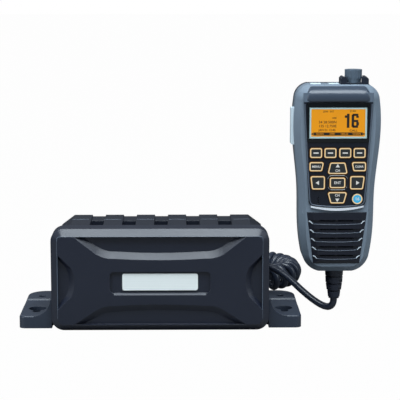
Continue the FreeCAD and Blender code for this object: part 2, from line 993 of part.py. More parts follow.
def rear_shell():
    body = stepped([
        (0, handset_seam), (0, handset_back - rear_bevel_depth), (rear_bevel, handset_back),
    ])
    hollow = stepped([
        (shell_side, handset_seam),
        (shell_side, handset_back - rear_bevel_depth - 1.0),
        (rear_bevel + 2.0, handset_back - shell_wall),
    ])
    body = body.cut(hollow)
    posts = [
        rod(
            handset_boss_radius, (handset_x + x, handset_seam, z),
            (handset_x + x, handset_back - shell_wall + 0.5, z),
        )
        for x, z in handset_boss_places()
    ]
    body = joined(body, *posts)
    cuts = []
    for x, z in handset_boss_places():
        cuts.append(rod(
            handset_screw_radius + screw_gap, (handset_x + x, handset_seam, z),
            (handset_x + x, handset_back + 1, z),
        ))
        cuts.append(rod(
            handset_screw_head + screw_gap, (handset_x + x, handset_back - 1.5, z),
            (handset_x + x, handset_back + 1, z),
        ))
    return without(body, *cuts)


def seal_ring(y0, y1):
    margin = (shell_side - seal_width) / 2
    outer = Part.Face(handset_outline(margin, y0)).extrude(Vector(0, y1 - y0, 0))
    inner = Part.Face(handset_outline(margin + seal_width, y0)).extrude(Vector(0, y1 - y0, 0))
    return outer.cut(inner)


def handset_screws():
    screws = []
    for x, z in handset_boss_places():
        shaft = rod(
            handset_screw_radius, (handset_x + x, handset_seam - 8.0, z),
            (handset_x + x, handset_back - 1.5, z),
        )
        head = rod(
            handset_screw_head, (handset_x + x, handset_back - 1.5, z),
            (handset_x + x, handset_back - 0.1, z),
        )
        screws.append(shaft.fuse(head).removeSplitter())
    return Part.makeCompound(screws)


# Front of the handset


def key_panel():
    half_top = 28.4
    half_low = 23.2
    low = plateau_top + 4.2
    points = [
        (-half_top, key_panel_top), (half_top, key_panel_top),
        (half_low, low + 5.6), (half_low - 1.3, low + 2.2, "via"), (half_low - 4.6, low + 1.2),
        (0.0, low, "via"),
        (-half_low + 4.6, low + 1.2), (-half_low + 1.3, low + 2.2, "via"), (-half_low, low + 5.6),
    ]
    plate = prism(on_handset(points), key_panel_front, handset_front)
    window = prism(
        on_handset(rectangle(0, window_middle, window_width, window_height)),
        key_panel_front - 1, handset_front + 1,
    )
    port_x = handset_x + microphone_x
    ports = [
        rod(
            port_radius, (port_x, key_panel_front - 1, microphone_z + dz),
            (port_x, handset_front + 1, microphone_z + dz),
        )
        for dz in (-2.0, 0.0, 2.0)
    ]
    return without(plate, window, *ports, *key_holes(key_panel_front - 1, handset_front + 1))


def display_window():
    fit = 0.1
    front = key_panel_front - window_proud
    outer = rectangle(0, window_middle, window_width - 2 * fit, window_height - 2 * fit)
    frame = prism(on_handset(rounded(outer, 1.0)), front, handset_front)
    inner = rectangle(0, lcd_middle, lcd_width + 2 * fit, lcd_height + 2 * fit)
    hole = prism(on_handset(inner), front - 1, handset_front + 1)
    return frame.cut(hole)


def lcd_frame():
    outer = rectangle(0, lcd_middle, lcd_width, lcd_height)
    frame = prism(on_handset(outer), key_panel_front, handset_front)
    hole = prism(
        on_handset(rectangle(0, lcd_middle, lcd_width - 2 * lcd_rim, lcd_height - 2 * lcd_rim)),
        key_panel_front - 1, handset_front + 1,
    )
    return frame.cut(hole)


def lcd_module():
    fit = 0.1
    return prism(
        on_handset(rectangle(
            0, lcd_middle, lcd_width - 2 * lcd_rim - 2 * fit, lcd_height - 2 * lcd_rim - 2 * fit,
        )),
        key_panel_front + 0.4, handset_board_front,
    )


def trim_strip():
    low = plateau_top + trim_gap
    half = trim_width / 2
    points = [
        (-half, low + 2.9), (-half, low + 4.1), (0.0, low + 2.0, "via"),
        (half, low + 4.1), (half, low + 2.9), (0.0, low, "via"),
    ]
    return prism(on_handset(points), key_panel_front - 0.4, handset_front)


def trapezium(top_width, bottom_width, top, bottom):
    return [
        (-bottom_width / 2, bottom), (bottom_width / 2, bottom),
        (top_width / 2, top), (-top_width / 2, top),
    ]


def plateau_width(z):
    share = (z - plateau_bottom) / (plateau_top - plateau_bottom)
    return plateau_bottom_width + share * (plateau_top_width - plateau_bottom_width)


def grille_slots(y0, y1):
    slots = []
    for n in range(groove_count):
        z = groove_first - n * groove_pitch
        for sign in (-1, 1):
            middle = handset_x + sign * (slot_width / 2 + 0.8)
            slots.append(box(
                middle - slot_width / 2, middle + slot_width / 2, y0, y1,
                z - slot_height / 2, z + slot_height / 2,
            ))
    return slots


def grille_cover():
    front = handset_front - plateau_height
    body = loft(
        on_handset(trapezium(plateau_top_width, plateau_bottom_width, plateau_top, plateau_bottom)),
        handset_front,
        on_handset(trapezium(
            plateau_top_width - 2 * plateau_bevel, plateau_bottom_width - 2 * plateau_bevel,
            plateau_top, plateau_bottom + 2.5,
        )),
        front,
    )
    grooves = []
    for n in range(groove_count):
        z = groove_first - n * groove_pitch
        half = plateau_width(z) / 2 - 0.6
        wedge = prism(
            on_handset([
                (-half, z - groove_height), (half, z - groove_height),
                (half, z + slot_height / 2), (-half, z + slot_height / 2),
            ]),
            front - 1, front + groove_depth,
        )
        grooves.append(wedge)
    return without(body, *grooves, *grille_slots(front - 1, handset_front + 1))


# Inside of the handset


def keypad_mat():
    half = 23.6
    mat = box(
        handset_x - half, handset_x + half, mat_front, handset_board_front,
        microphone_z - 4.0, soft_key_z + soft_key_size[1] / 2 + 1.2,
    )
    x = handset_x + microphone_x
    hole = rod(
        microphone_radius + 0.4, (x, mat_front - 1, microphone_z),
        (x, handset_board_front + 1, microphone_z),
    )
    return mat.cut(hole)


def handset_board():
    half = 22.4
    return box(
        handset_x - half, handset_x + half, handset_board_front, handset_board_back,
        microphone_z - 7.0, shell_roof - 4.0,
    )


def microphone():
    x = handset_x + microphone_x
    return rod(microphone_radius, (x, shell_inner, microphone_z), (x, handset_board_front, microphone_z))


def speaker_mesh():
    return rod(
        speaker_radius, (handset_x, shell_inner, speaker_z),
        (handset_x, shell_inner + mesh_thickness, speaker_z),
    )


def speaker():
    front = shell_inner + mesh_thickness
    back = front + speaker_depth
    frame = rod(speaker_radius, (handset_x, front, speaker_z), (handset_x, front + 3.0, speaker_z))
    basket = Part.makeCone(
        speaker_radius - 1.0, speaker_radius * 0.6, speaker_depth - 6.0,
        Vector(handset_x, front + 3.0, speaker_z), Vector(0, 1, 0),
    )
    magnet = rod(speaker_radius * 0.6, (handset_x, back - 3.0, speaker_z), (handset_x, back, speaker_z))
    return joined(frame, basket, magnet)


def encoder():
    x = handset_x + knob_x
    y = cord_axis_y
    body = box(x - 6.0, x + 6.0, y - 5.5, y + 5.5, shell_roof - 10.0, shell_roof)
    shaft = rod(shaft_radius, (x, y, shell_roof - 1.0), (x, y, handset_top + knob_gap + knob_height - 3.0))
    return joined(body, shaft)


def knob_seal():
    x = handset_x + knob_x
    y = cord_axis_y
    ring = rod(shaft_radius + 2.2, (x, y, handset_top), (x, y, handset_top + knob_gap - 0.3))
    return ring.cut(rod(shaft_radius + 0.3, (x, y, handset_top - 1), (x, y, handset_top + 2)))


def volume_knob():
    x = handset_x + knob_x
    y = cord_axis_y
    low = handset_top + knob_gap
    body = Part.makeCone(
        knob_radius - knob_taper, knob_radius, knob_height, Vector(x, y, low), Vector(0, 0, 1),
    )
    flutes = 16
    for n in range(flutes):
        angle = 2 * math.pi * n / flutes
        reach = knob_radius + 0.25
        fx = x + reach * math.cos(angle)
        fy = y + reach * math.sin(angle)
        body = body.cut(rod(0.75, (fx, fy, low - 1), (fx, fy, low + knob_height - 1.6)))
    bore = rod(
        shaft_radius + shaft_fit, (x, y, low - 1),
        (x, y, handset_top + knob_gap + knob_height - 3.0 + 0.3),
    )
    return body.cut(bore)


def knob_guard():
    """Two horns on top of the handset with the knob between them."""
    left = handset_x + guard_left
    right = handset_x + guard_right
    y0 = cord_axis_y - 8.0
    y1 = handset_seam
    block = box(left, right, y0, y1, handset_top, handset_top + guard_height)
    outer = [
        edge for edge in block.Edges
        if all(abs(vertex.Z - handset_top - guard_height) < 1e-6 for vertex in edge.Vertexes)
        and abs(edge.Vertexes[0].Y - edge.Vertexes[1].Y) > 1
    ]
    block = block.makeChamfer(1.6, outer)
    x = handset_x + knob_x
    clear = knob_radius + guard_clearance
    well = rod(clear, (x, cord_axis_y, handset_top), (x, cord_axis_y, handset_top + guard_height + 1))
    high = handset_top + guard_height + 1
    notch = box(x - clear + 2.4, x + clear - 2.4, y0 - 1, y1 + 1, handset_top + 1.4, high)
    channel = box(x - clear, x + clear, cord_axis_y - 1.0, y1 + 1, handset_top, high)
    return without(block, well, notch, channel)


def top_key(x):
    middle = top_key_middle_y()
    half_x = top_key_size[0] / 2
    half_y = top_key_size[1] / 2
    cap = box(
        handset_x + x - half_x, handset_x + x + half_x, middle - half_y, middle + half_y,
        shell_roof - key_clearance, handset_top + top_key_proud,
    )
    top = [
        edge for edge in cap.Edges
        if all(abs(vertex.Z - handset_top - top_key_proud) < 1e-6 for vertex in edge.Vertexes)
    ]
    cap = cap.makeFillet(top_key_proud * 0.8, top)
    foot = box(
        handset_x + x - half_x - 0.8, handset_x + x + half_x + 0.8,
        middle - half_y - 0.8, middle + half_y + 0.8,
        shell_roof - key_clearance - 0.8, shell_roof - key_clearance,
    )
    return joined(cap, foot)


def top_switches():
    """The small switches under the two top keys, on a bracket from the handset's board."""
    low = shell_roof - 4.0
    high = shell_roof - key_clearance - 0.8 - top_key_travel - key_clearance
    middle = top_key_middle_y()
    bodies = []
    for x in top_key_places:
        bodies.append(box(
            handset_x + x - 3.0, handset_x + x + 3.0, handset_board_front, middle + 3.0, low, high,
        ))
    return Part.makeCompound(bodies)


def ptt_bar(gap, outer, inner):
    half = ptt_height / 2 + gap
    middle_y = handset_front + handset_bevel_depth + 1.0 + ptt_depth / 2
    return box(
        handset_x - outer, handset_x - inner, middle_y - ptt_depth / 2 - gap,
        middle_y + ptt_depth / 2 + gap, ptt_middle - half, ptt_middle + half,
    )


def ptt_button():
    bar = ptt_bar(0, ptt_outer, ptt_inner)
    edges = [
        edge for edge in bar.Edges
        if all(abs(vertex.X - handset_x + ptt_outer) < 1e-6 for vertex in edge.Vertexes)
    ]
    return bar.makeFillet(1.2, edges)


def ptt_switch():
    return box(
        handset_x - ptt_inner + ptt_travel + key_clearance, handset_x - 20.0,
        handset_board_back, handset_board_back + 6.0, ptt_middle - 5.0, ptt_middle + 5.0,
    )


def hanger_stud():
    neck = rod(stud_neck, (handset_x, handset_back, stud_z), (handset_x, handset_back + 4.0, stud_z))
    head = rod(stud_head, (handset_x, handset_back + 4.0, stud_z), (handset_x, handset_back + 6.5, stud_z))
    return joined(neck, head)


# Strain relief and cord


def strain_relief():
    """Stepped collars with grooves between them, from the handset's chin down to the cord."""
    x = handset_x
    y = cord_axis_y
    neck = rod(relief_neck, (x, y, handset_bottom - 1.0), (x, y, handset_bottom + shell_side + 3.0))
    step = (handset_bottom - relief_end) / len(relief_radii)
    groove = 1.2
    body = neck
    for n, radius in enumerate(relief_radii):
        high = handset_bottom - n * step
        low = high - step + groove
        next_radius = relief_radii[n + 1] if n + 1 < len(relief_radii) else cord_radius + 1.4
        collar = Part.makeCone(
            (radius + next_radius) / 2, radius, high - low, Vector(x, y, low), Vector(0, 0, 1),
        )
        body = body.fuse(collar)
        core = next_radius if n + 1 == len(relief_radii) else next_radius - relief_groove
        body = body.fuse(rod(core, (x, y, high - step), (x, y, low)))
    return body.removeSplitter()


def tangent_arc(corner, towards_start, towards_end, reach):
    """The arc that touches both arms of a corner at this reach, and its radius."""
    half_turn = (math.pi - towards_start.getAngle(towards_end)) / 2
    radius = reach / math.tan(half_turn)
    inward = (towards_start + towards_end).normalize()
    middle = corner + inward * (math.hypot(reach, radius) - radius)
    start = corner + towards_start * reach
    end = corner + towards_end * reach
    return Part.Arc(start, middle, end).toShape(), start, end, radius


def free_path(points):
    """Straight runs joined by arcs as large as the shorter run beside each corner allows."""
    points = [Vector(*point) for point in points]
    edges = []
    radii = []
    previous = points[0]
    for before, here, after in zip(points, points[1:], points[2:]):
        back = before - here
        ahead = after - here
        reach = 0.45 * min(back.Length, ahead.Length)
        arc, start, end, radius = tangent_arc(here, back.normalize(), ahead.normalize(), reach)
        edges.append(Part.LineSegment(previous, start).toShape())
        edges.append(arc)
        previous = end
        radii.append(radius)
    edges.append(Part.LineSegment(previous, points[-1]).toShape())
    return edges, radii


def tube(edges, name):
    """A round tube along the edges, with its volume checked against section times length."""
    path = Part.Wire(edges)
    start = edges[0].valueAt(edges[0].FirstParameter)
    direction = edges[0].tangentAt(edges[0].FirstParameter)
    ring = Part.Wire([Part.makeCircle(cord_radius, start, direction)])
    solid = path.makePipeShell([ring], True, False)
    if solid.ShapeType != "Solid":
        solid = Part.Solid(Part.Shell(solid.Faces))
    share = abs(solid.Volume) / (math.pi * cord_radius ** 2 * path.Length)
    print(name, "length", round(path.Length, 1), "volume share", round(share, 4), solid.isValid())
    return solid


def coil_sections():
    """The curly part's axis: a near run, a bend behind the box and a far run."""
    sx, sy = coil_start
    cx, cy = bend_centre
    tilt = math.asin(bend_radius / math.hypot(cx - sx, cy - sy)) - math.atan2(cy - sy, cx - sx)
    near_length = (cx - sx) * math.cos(tilt) - (cy - sy) * math.sin(tilt)
    return tilt, near_length, math.pi + tilt, cx - coil_end_x


def coil_point(turn):
    """The cord's middle after this many turns of the curl, from the end nearer the handset."""
    tilt, near_length, bend_angle, far_length = coil_sections()
    sx, sy = coil_start
    cx, cy = bend_centre
    if turn <= turns_near:
        along = near_length * turn / turns_near
        heading = -tilt
        x = sx + along * math.cos(heading)
        y = sy + along * math.sin(heading)
    elif turn <= turns_near + turns_bend:
        heading = -tilt + bend_angle * (turn - turns_near) / turns_bend
        x = cx + bend_radius * math.sin(heading)
        y = cy - bend_radius * math.cos(heading)
    else:
        heading = math.pi
        x = cx - far_length * (turn - turns_near - turns_bend) / turns_far
        y = cy + bend_radius
    side = turn_radius * math.sin(2 * math.pi * turn)
    drop = turn_radius * math.cos(2 * math.pi * turn)
    return Vector(x - side * math.sin(heading), y + side * math.cos(heading), coil_axis_z - drop)


def coil_direction(turn):
    step = 0.01
    total = turns_near + turns_bend + turns_far
    before = coil_point(max(turn - step, 0))
    after = coil_point(min(turn + step, total))
    direction = (after - before).normalize()
    if turn in (0, total):
        direction.z = 0
        direction.normalize()
    return direction


def biarc(start, start_direction, end, end_direction):
    """Two arcs that leave and arrive along the given directions."""
    chord = end - start
    both = start_direction + end_direction
    bend = 2 * (1 - start_direction.dot(end_direction))
    along = chord.dot(both)
    reach = (-along + math.sqrt(along ** 2 + bend * chord.dot(chord))) / bend
    first_corner = start + start_direction * reach
    second_corner = end - end_direction * reach
    joint = (first_corner + second_corner) * 0.5
    first = tangent_arc(
        first_corner, (start - first_corner).normalize(), (joint - first_corner).normalize(), reach,
    )
    second = tangent_arc(
        second_corner, (joint - second_corner).normalize(), (end - second_corner).normalize(), reach,
    )
    return [first[0], second[0]]


def coil_edges():
    total = turns_near + turns_bend + turns_far
    stops = [n / 2 for n in range(2 * total + 1)]
    points = [coil_point(turn) for turn in stops]
    directions = [coil_direction(turn) for turn in stops]
    edges = [Part.LineSegment(points[0] - directions[0] * cord_diameter, points[0]).toShape()]
    for n in range(len(points) - 1):
        edges += biarc(points[n], directions[n], points[n + 1], directions[n + 1])
    edges.append(Part.LineSegment(points[-1], points[-1] + directions[-1] * cord_diameter).toShape())
    return edges


def least_gap(edges):
    """Least clear distance of the curly part to itself, measured on points of its path."""
    samples = []
    for edge in edges:
        for k in range(6):
            share = edge.FirstParameter + (edge.LastParameter - edge.FirstParameter) * k / 6
            samples.append(edge.valueAt(share))
    lengths = [0.0]
    for a, b in zip(samples, samples[1:]):
        lengths.append(lengths[-1] + (b - a).Length)
    least = 1e9
    for i in range(len(samples)):
        for j in range(i + 8, min(i + 70, len(samples))):
            if lengths[j] - lengths[i] > 3 * turn_radius:
                least = min(least, (samples[j] - samples[i]).Length)
    return least - cord_diameter


def lead_points():
    """Route of the straight lead from the strain relief to the curly part, chosen by hand."""
    start = coil_point(0)
    direction = coil_direction(0)
    arrival = start - direction * cord_diameter
    return [
        (handset_x, cord_axis_y, relief_end),
        (handset_x, cord_axis_y, 7.8),
        (141.7, 7.3, 4.45),
        (138.8, 9.4, 2.85),
        (132.7, 13.8, 4.1),
        (121.3, 23.6, 11.0),
        (104.0, 45.8, 24.6),
        (83.5, 59.5, 31.2),
        (61.0, 61.2, 23.0),
        (41.5, 59.4, 8.6),
        (14.7, 57.6, floor_z),
        (3.4, 65.8, floor_z),
        tuple(arrival - direction * 12.5),
        tuple(arrival),
    ]


def plug_end_y():
    return cover_back + socket_flange + plug_ring_length + plug_boot_length


def tail_points():
    """Route from the curly part's far end to the plug on the rear cover."""
    total = turns_near + turns_bend + turns_far
    direction = coil_direction(total)
    leave = coil_point(total) + direction * cord_diameter
    x, z = handset_socket_x, handset_socket_z
    return [
        tuple(leave),
        tuple(leave + direction * 14.0),
        (x, plug_end_y() + 16.0, z),
        (x, plug_end_y(), z),
    ]


def cord_plug():
    x, z = handset_socket_x, handset_socket_z
    y = cover_back + socket_flange
    ring = rod(plug_ring_radius, (x, y, z), (x, y + plug_ring_length, z))
    for n in range(18):
        angle = 2 * math.pi * n / 18
        fx = x + (plug_ring_radius + 0.3) * math.cos(angle)
        fz = z + (plug_ring_radius + 0.3) * math.sin(angle)
        ring = ring.cut(rod(0.8, (fx, y + 1.5, fz), (fx, y + plug_ring_length - 1.5, fz)))
    boot = Part.makeCone(
        plug_ring_radius - 1.6, cord_radius + 1.2, plug_boot_length,
        Vector(x, y + plug_ring_length, z), Vector(0, 1, 0),
    )
    return joined(ring, boot)


def build_main_unit():
    save("front_panel", front_panel())
    save("name_plate", name_plate())
    save("case", case())
    save("case_gaskets", Part.makeCompound([
        gasket_ring(panel_back, panel_back + gasket_thickness),
        gasket_ring(case_back - gasket_thickness, case_back),
    ]))
    save("rear_cover", rear_cover())
    save("mounting_base", mounting_base())
    save("case_screws", case_screws())
    save("base_screws", base_screws())
    save("main_board", main_board())
    save("board_screws", board_screws())
    save("power_amplifier", power_amplifier())
    save("thermal_pad", thermal_pad())
    save("shield_can", shield_can())
    save("antenna_socket", antenna_socket())
    save("power_gland", power_gland())
    save("handset_socket", handset_socket())
    save("accessory_sockets", accessory_sockets())
    save("ground_terminal", ground_terminal())


def build_handset():
    save("front_shell", front_shell())
    save("rear_shell", rear_shell())
    save("case_seal", seal_ring(handset_seam - seal_thickness, handset_seam))
    save("handset_screws", handset_screws())
    save("key_panel", key_panel())
    save("display_window", display_window())
    save("lcd_frame", lcd_frame())
    save("lcd_module", lcd_module())
    save("trim_strip", trim_strip())
    save("grille_cover", grille_cover())
    save("keypad_mat", keypad_mat())
    save("handset_board", handset_board())
    save("microphone", microphone())
    save("speaker_mesh", speaker_mesh())
    save("speaker", speaker())
    save("encoder", encoder())
    save("knob_seal", knob_seal())
    save("volume_knob", volume_knob())
    save("knob_guard", knob_guard())
    save("top_switches", top_switches())
    save("ptt_button", ptt_button())
    save("ptt_switch", ptt_switch())
    save("hanger_stud", hanger_stud())
    for n, x in enumerate(top_key_places):
        save("top_key_" + str(n + 1), top_key(x))
    for name, corners in key_outlines().items():
        save(name, key_solid(name, corners))
    save("channel_key", key_solid("channel_key", None))


def build_cord():
    save("strain_relief", strain_relief())
    lead, radii = free_path(lead_points())
    print("lead radii", [round(radius, 1) for radius in radii])
    save("cord_lead", tube(lead, "cord_lead"))
    coil = coil_edges()
    print("curl gap", round(least_gap(coil), 2))
    save("cord_coil", tube(coil, "cord_coil"))
    tail, radii = free_path(tail_points())
    print("tail radii", [round(radius, 1) for radius in radii])
    save("cord_tail", tube(tail, "cord_tail"))
    save("cord_plug", cord_plug())


build_main_unit()
build_handset()
build_cord()
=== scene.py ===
import math

import bpy
import bmesh
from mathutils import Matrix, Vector


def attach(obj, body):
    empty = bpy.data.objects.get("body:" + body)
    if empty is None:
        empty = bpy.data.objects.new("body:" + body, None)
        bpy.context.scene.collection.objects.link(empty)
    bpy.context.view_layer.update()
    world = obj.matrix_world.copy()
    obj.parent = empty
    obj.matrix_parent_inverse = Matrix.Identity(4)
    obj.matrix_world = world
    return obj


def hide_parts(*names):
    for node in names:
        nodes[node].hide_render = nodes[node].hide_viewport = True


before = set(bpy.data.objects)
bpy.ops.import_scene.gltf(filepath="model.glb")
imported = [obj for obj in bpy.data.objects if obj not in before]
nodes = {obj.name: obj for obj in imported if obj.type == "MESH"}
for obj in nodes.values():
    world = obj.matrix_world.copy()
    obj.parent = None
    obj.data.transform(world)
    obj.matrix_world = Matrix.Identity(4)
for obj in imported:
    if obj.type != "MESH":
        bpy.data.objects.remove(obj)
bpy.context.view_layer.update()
MM = 0.001

# The camera: place and reach in metres, angles in degrees, lens and sensor in mm
CAMERA_PLACE = (0.0162, -1.2114, 0.2964)
CAMERA_DOWN = 9.425
CAMERA_TURN = -0.7536
CAMERA_LENS = 135.0
CAMERA_SENSOR = 36.0
CAMERA_REACH = 20.0

# Sizes in mm that the looks share with the model
HANDSET_X = 143.5
KEY_TOP_Y = -11.1
PANEL_Y = -10.2
LCD_Y = -9.8

# The cord, in mm. The margin keeps its turns inside the model's box.
CORD_AXIS_Y = 6.0
RELIEF_END = 11.8
CORD_DIAMETER = 5.8
COIL_OUTER = 23.4
COIL_MARGIN = 0.05
FLOOR_GAP = 0.1
FLOOR_Z = CORD_DIAMETER / 2 + FLOOR_GAP
TURN_RADIUS = COIL_OUTER / 2 - CORD_DIAMETER / 2 - COIL_MARGIN
COIL_AXIS_Z = TURN_RADIUS + FLOOR_Z
COIL_START = (5.0, 96.0)
BEND_CENTRE = (80.0, 114.5)
BEND_RADIUS = 33.5
BEND_STEPS = 8
COIL_END_X = -30.0
TURNS_NEAR = 11
TURNS_BEND = 13
TURNS_FAR = 17
POINTS_PER_TURN = 16
LEAD_RUN = 12.5
TAIL_RUN = 14.0
PLUG_RUN = 16.0
PLUG_X = -33.0
PLUG_Z = 18.0
PLUG_END_Y = 84.0

# Control points of the straight lead, from the strain relief to the curly part, in mm
LEAD_POINTS = (
    (HANDSET_X, CORD_AXIS_Y, RELIEF_END), (HANDSET_X, CORD_AXIS_Y, 7.8),
    (141.7, 7.3, 4.45), (138.8, 9.4, 2.85), (132.7, 13.8, 4.1), (121.3, 23.6, 11.0),
    (104.0, 45.8, 24.6), (83.5, 59.5, 31.2), (61.0, 61.2, 23.0), (41.5, 59.4, 8.6),
    (14.7, 57.6, FLOOR_Z), (3.4, 65.8, FLOOR_Z),
)


def show(piece):
    bpy.context.scene.collection.objects.link(piece)


# Camera


def make_camera():
    data = bpy.data.cameras.new("camera")
    data.lens = CAMERA_LENS
    data.sensor_width = CAMERA_SENSOR
    data.clip_end = CAMERA_REACH
    camera = bpy.data.objects.new("camera", data)
    camera.location = CAMERA_PLACE
    camera.rotation_euler = (math.radians(90 - CAMERA_DOWN), 0, math.radians(CAMERA_TURN))
    show(camera)
    bpy.context.scene.camera = camera


# Materials

# Scale of the slow changes of tone, and the levels of the grain between which high spots turn lighter
CLOUD_SCALE = 22.0
WORN_FROM = 0.62
WORN_FULL = 0.8

# Heights of the grain and of the brushed lines, in metres
GRAIN_HEIGHT = 0.0004
BRUSH_HEIGHT = 0.0001

# Scale of a metal's texture along X, Y and Z: long lines or even specks
LONG_BRUSH = (4.0, 900.0, 900.0)
EVEN_BRUSH = (300.0, 300.0, 300.0)


def linear(red, green, blue):
    """A colour written as 0 to 255 screen values, as the shader wants it."""
    def one(value):
        value /= 255
        return value / 12.92 if value <= 0.04045 else ((value + 0.055) / 1.055) ** 2.4
    return (one(red), one(green), one(blue), 1.0)


def toned(colour, share):
    """A darker or lighter tone of a colour."""
    return tuple(min(c * share, 1) for c in colour[:3]) + (1,)


def new_material(name):
    material = bpy.data.materials.new(name)
    material.use_nodes = True
    tree = material.node_tree
    shader = tree.nodes["Principled BSDF"]
    return material, tree, shader


def noise(tree, scale, detail, stretch=None):
    """A noise in the piece's own frame, drawn out along its axes where a stretch is given."""
    place = tree.nodes.new("ShaderNodeTexCoord").outputs["Object"]
    if stretch:
        mapping = tree.nodes.new("ShaderNodeMapping")
        mapping.inputs["Scale"].default_value = stretch
        tree.links.new(place, mapping.inputs["Vector"])
        place = mapping.outputs["Vector"]
    node = tree.nodes.new("ShaderNodeTexNoise")
    node.inputs["Scale"].default_value = scale
    node.inputs["Detail"].default_value = detail
    tree.links.new(place, node.inputs["Vector"])
    return node.outputs["Fac"]


def ranged(tree, value, low, high, to_low=0.0, to_high=1.0):
    """Carries a value from the range low to high over to another range."""
    node = tree.nodes.new("ShaderNodeMapRange")
    node.inputs["From Min"].default_value = low
    node.inputs["From Max"].default_value = high
    node.inputs["To Min"].default_value = to_low
    node.inputs["To Max"].default_value = to_high
    tree.links.new(value, node.inputs["Value"])
    return node.outputs["Result"]


def blend(tree, factor, first, second):
    """A colour between two others, each of them a colour or the socket of one."""
    node = tree.nodes.new("ShaderNodeMix")
    node.data_type = "RGBA"
    tree.links.new(factor, node.inputs["Factor"])
    for name, colour in (("A", first), ("B", second)):
        if isinstance(colour, tuple):
            node.inputs[name].default_value = colour
        else:
            tree.links.new(colour, node.inputs[name])
    return node.outputs["Result"]


def emboss(tree, shader, value, strength, height, bevel=0.0):
    """Shades a surface as uneven, and its edges as rounded by the bevel, in mm."""
    node = tree.nodes.new("ShaderNodeBump")
    node.inputs["Strength"].default_value = strength
    node.inputs["Distance"].default_value = height
    tree.links.new(value, node.inputs["Height"])
    if bevel > 0:
        edge = tree.nodes.new("ShaderNodeBevel")
        edge.samples = 4
        edge.inputs["Radius"].default_value = bevel * MM
        tree.links.new(edge.outputs["Normal"], node.inputs["Normal"])
    tree.links.new(node.outputs["Normal"], shader.inputs["Normal"])


def finish_of(name, colour, rough, grain, bump, clouds, bevel=0.0, coat=0.0, lighter=1.25, specular=0.5):
    """A moulded or cast surface: fine grain, slow changes of tone, and lighter worn high spots."""
    material, tree, shader = new_material(name)
    slow = noise(tree, CLOUD_SCALE, 5.0)
    fine = noise(tree, grain, 2.0)
    tone = blend(tree, slow, toned(colour, 1 - clouds), toned(colour, 1 + clouds))
    speck = ranged(tree, fine, WORN_FROM, WORN_FULL)
    worn = blend(tree, speck, tone, toned(colour, lighter))
    tree.links.new(worn, shader.inputs["Base Color"])
    sheen = ranged(tree, slow, 0.0, 1.0, max(rough - 0.06, 0.02), min(rough + 0.08, 1.0))
    tree.links.new(sheen, shader.inputs["Roughness"])
    emboss(tree, shader, fine, bump, GRAIN_HEIGHT, bevel)
    shader.inputs["Coat Weight"].default_value = coat
    shader.inputs["Specular IOR Level"].default_value = specular
    return material


def brushed(name, colour, rough, stretch=LONG_BRUSH, metal=1.0):
    """Bare metal with fine lines along one direction, or with even specks."""
    material, tree, shader = new_material(name)
    lines = noise(tree, 2.0, 4.0, stretch)
    tone = blend(tree, lines, toned(colour, 0.9), toned(colour, 1.06))
    tree.links.new(tone, shader.inputs["Base Color"])
    emboss(tree, shader, lines, 0.08, BRUSH_HEIGHT)
    shader.inputs["Metallic"].default_value = metal
    shader.inputs["Roughness"].default_value = rough
    return material


def lit(name, colour, strength, dimmer=None):
    """A glowing surface with a slight unevenness, like light behind rubber or a screen."""
    material, tree, shader = new_material(name)
    spread = ranged(tree, noise(tree, 60.0, 2.0), 0.25, 0.6)
    tone = blend(tree, spread, dimmer or toned(colour, 0.88), colour)
    tree.links.new(tone, shader.inputs["Emission Color"])
    shader.inputs["Base Color"].default_value = toned(colour, 0.15)
    shader.inputs["Emission Strength"].default_value = strength
    shader.inputs["Roughness"].default_value = 0.5
    return material


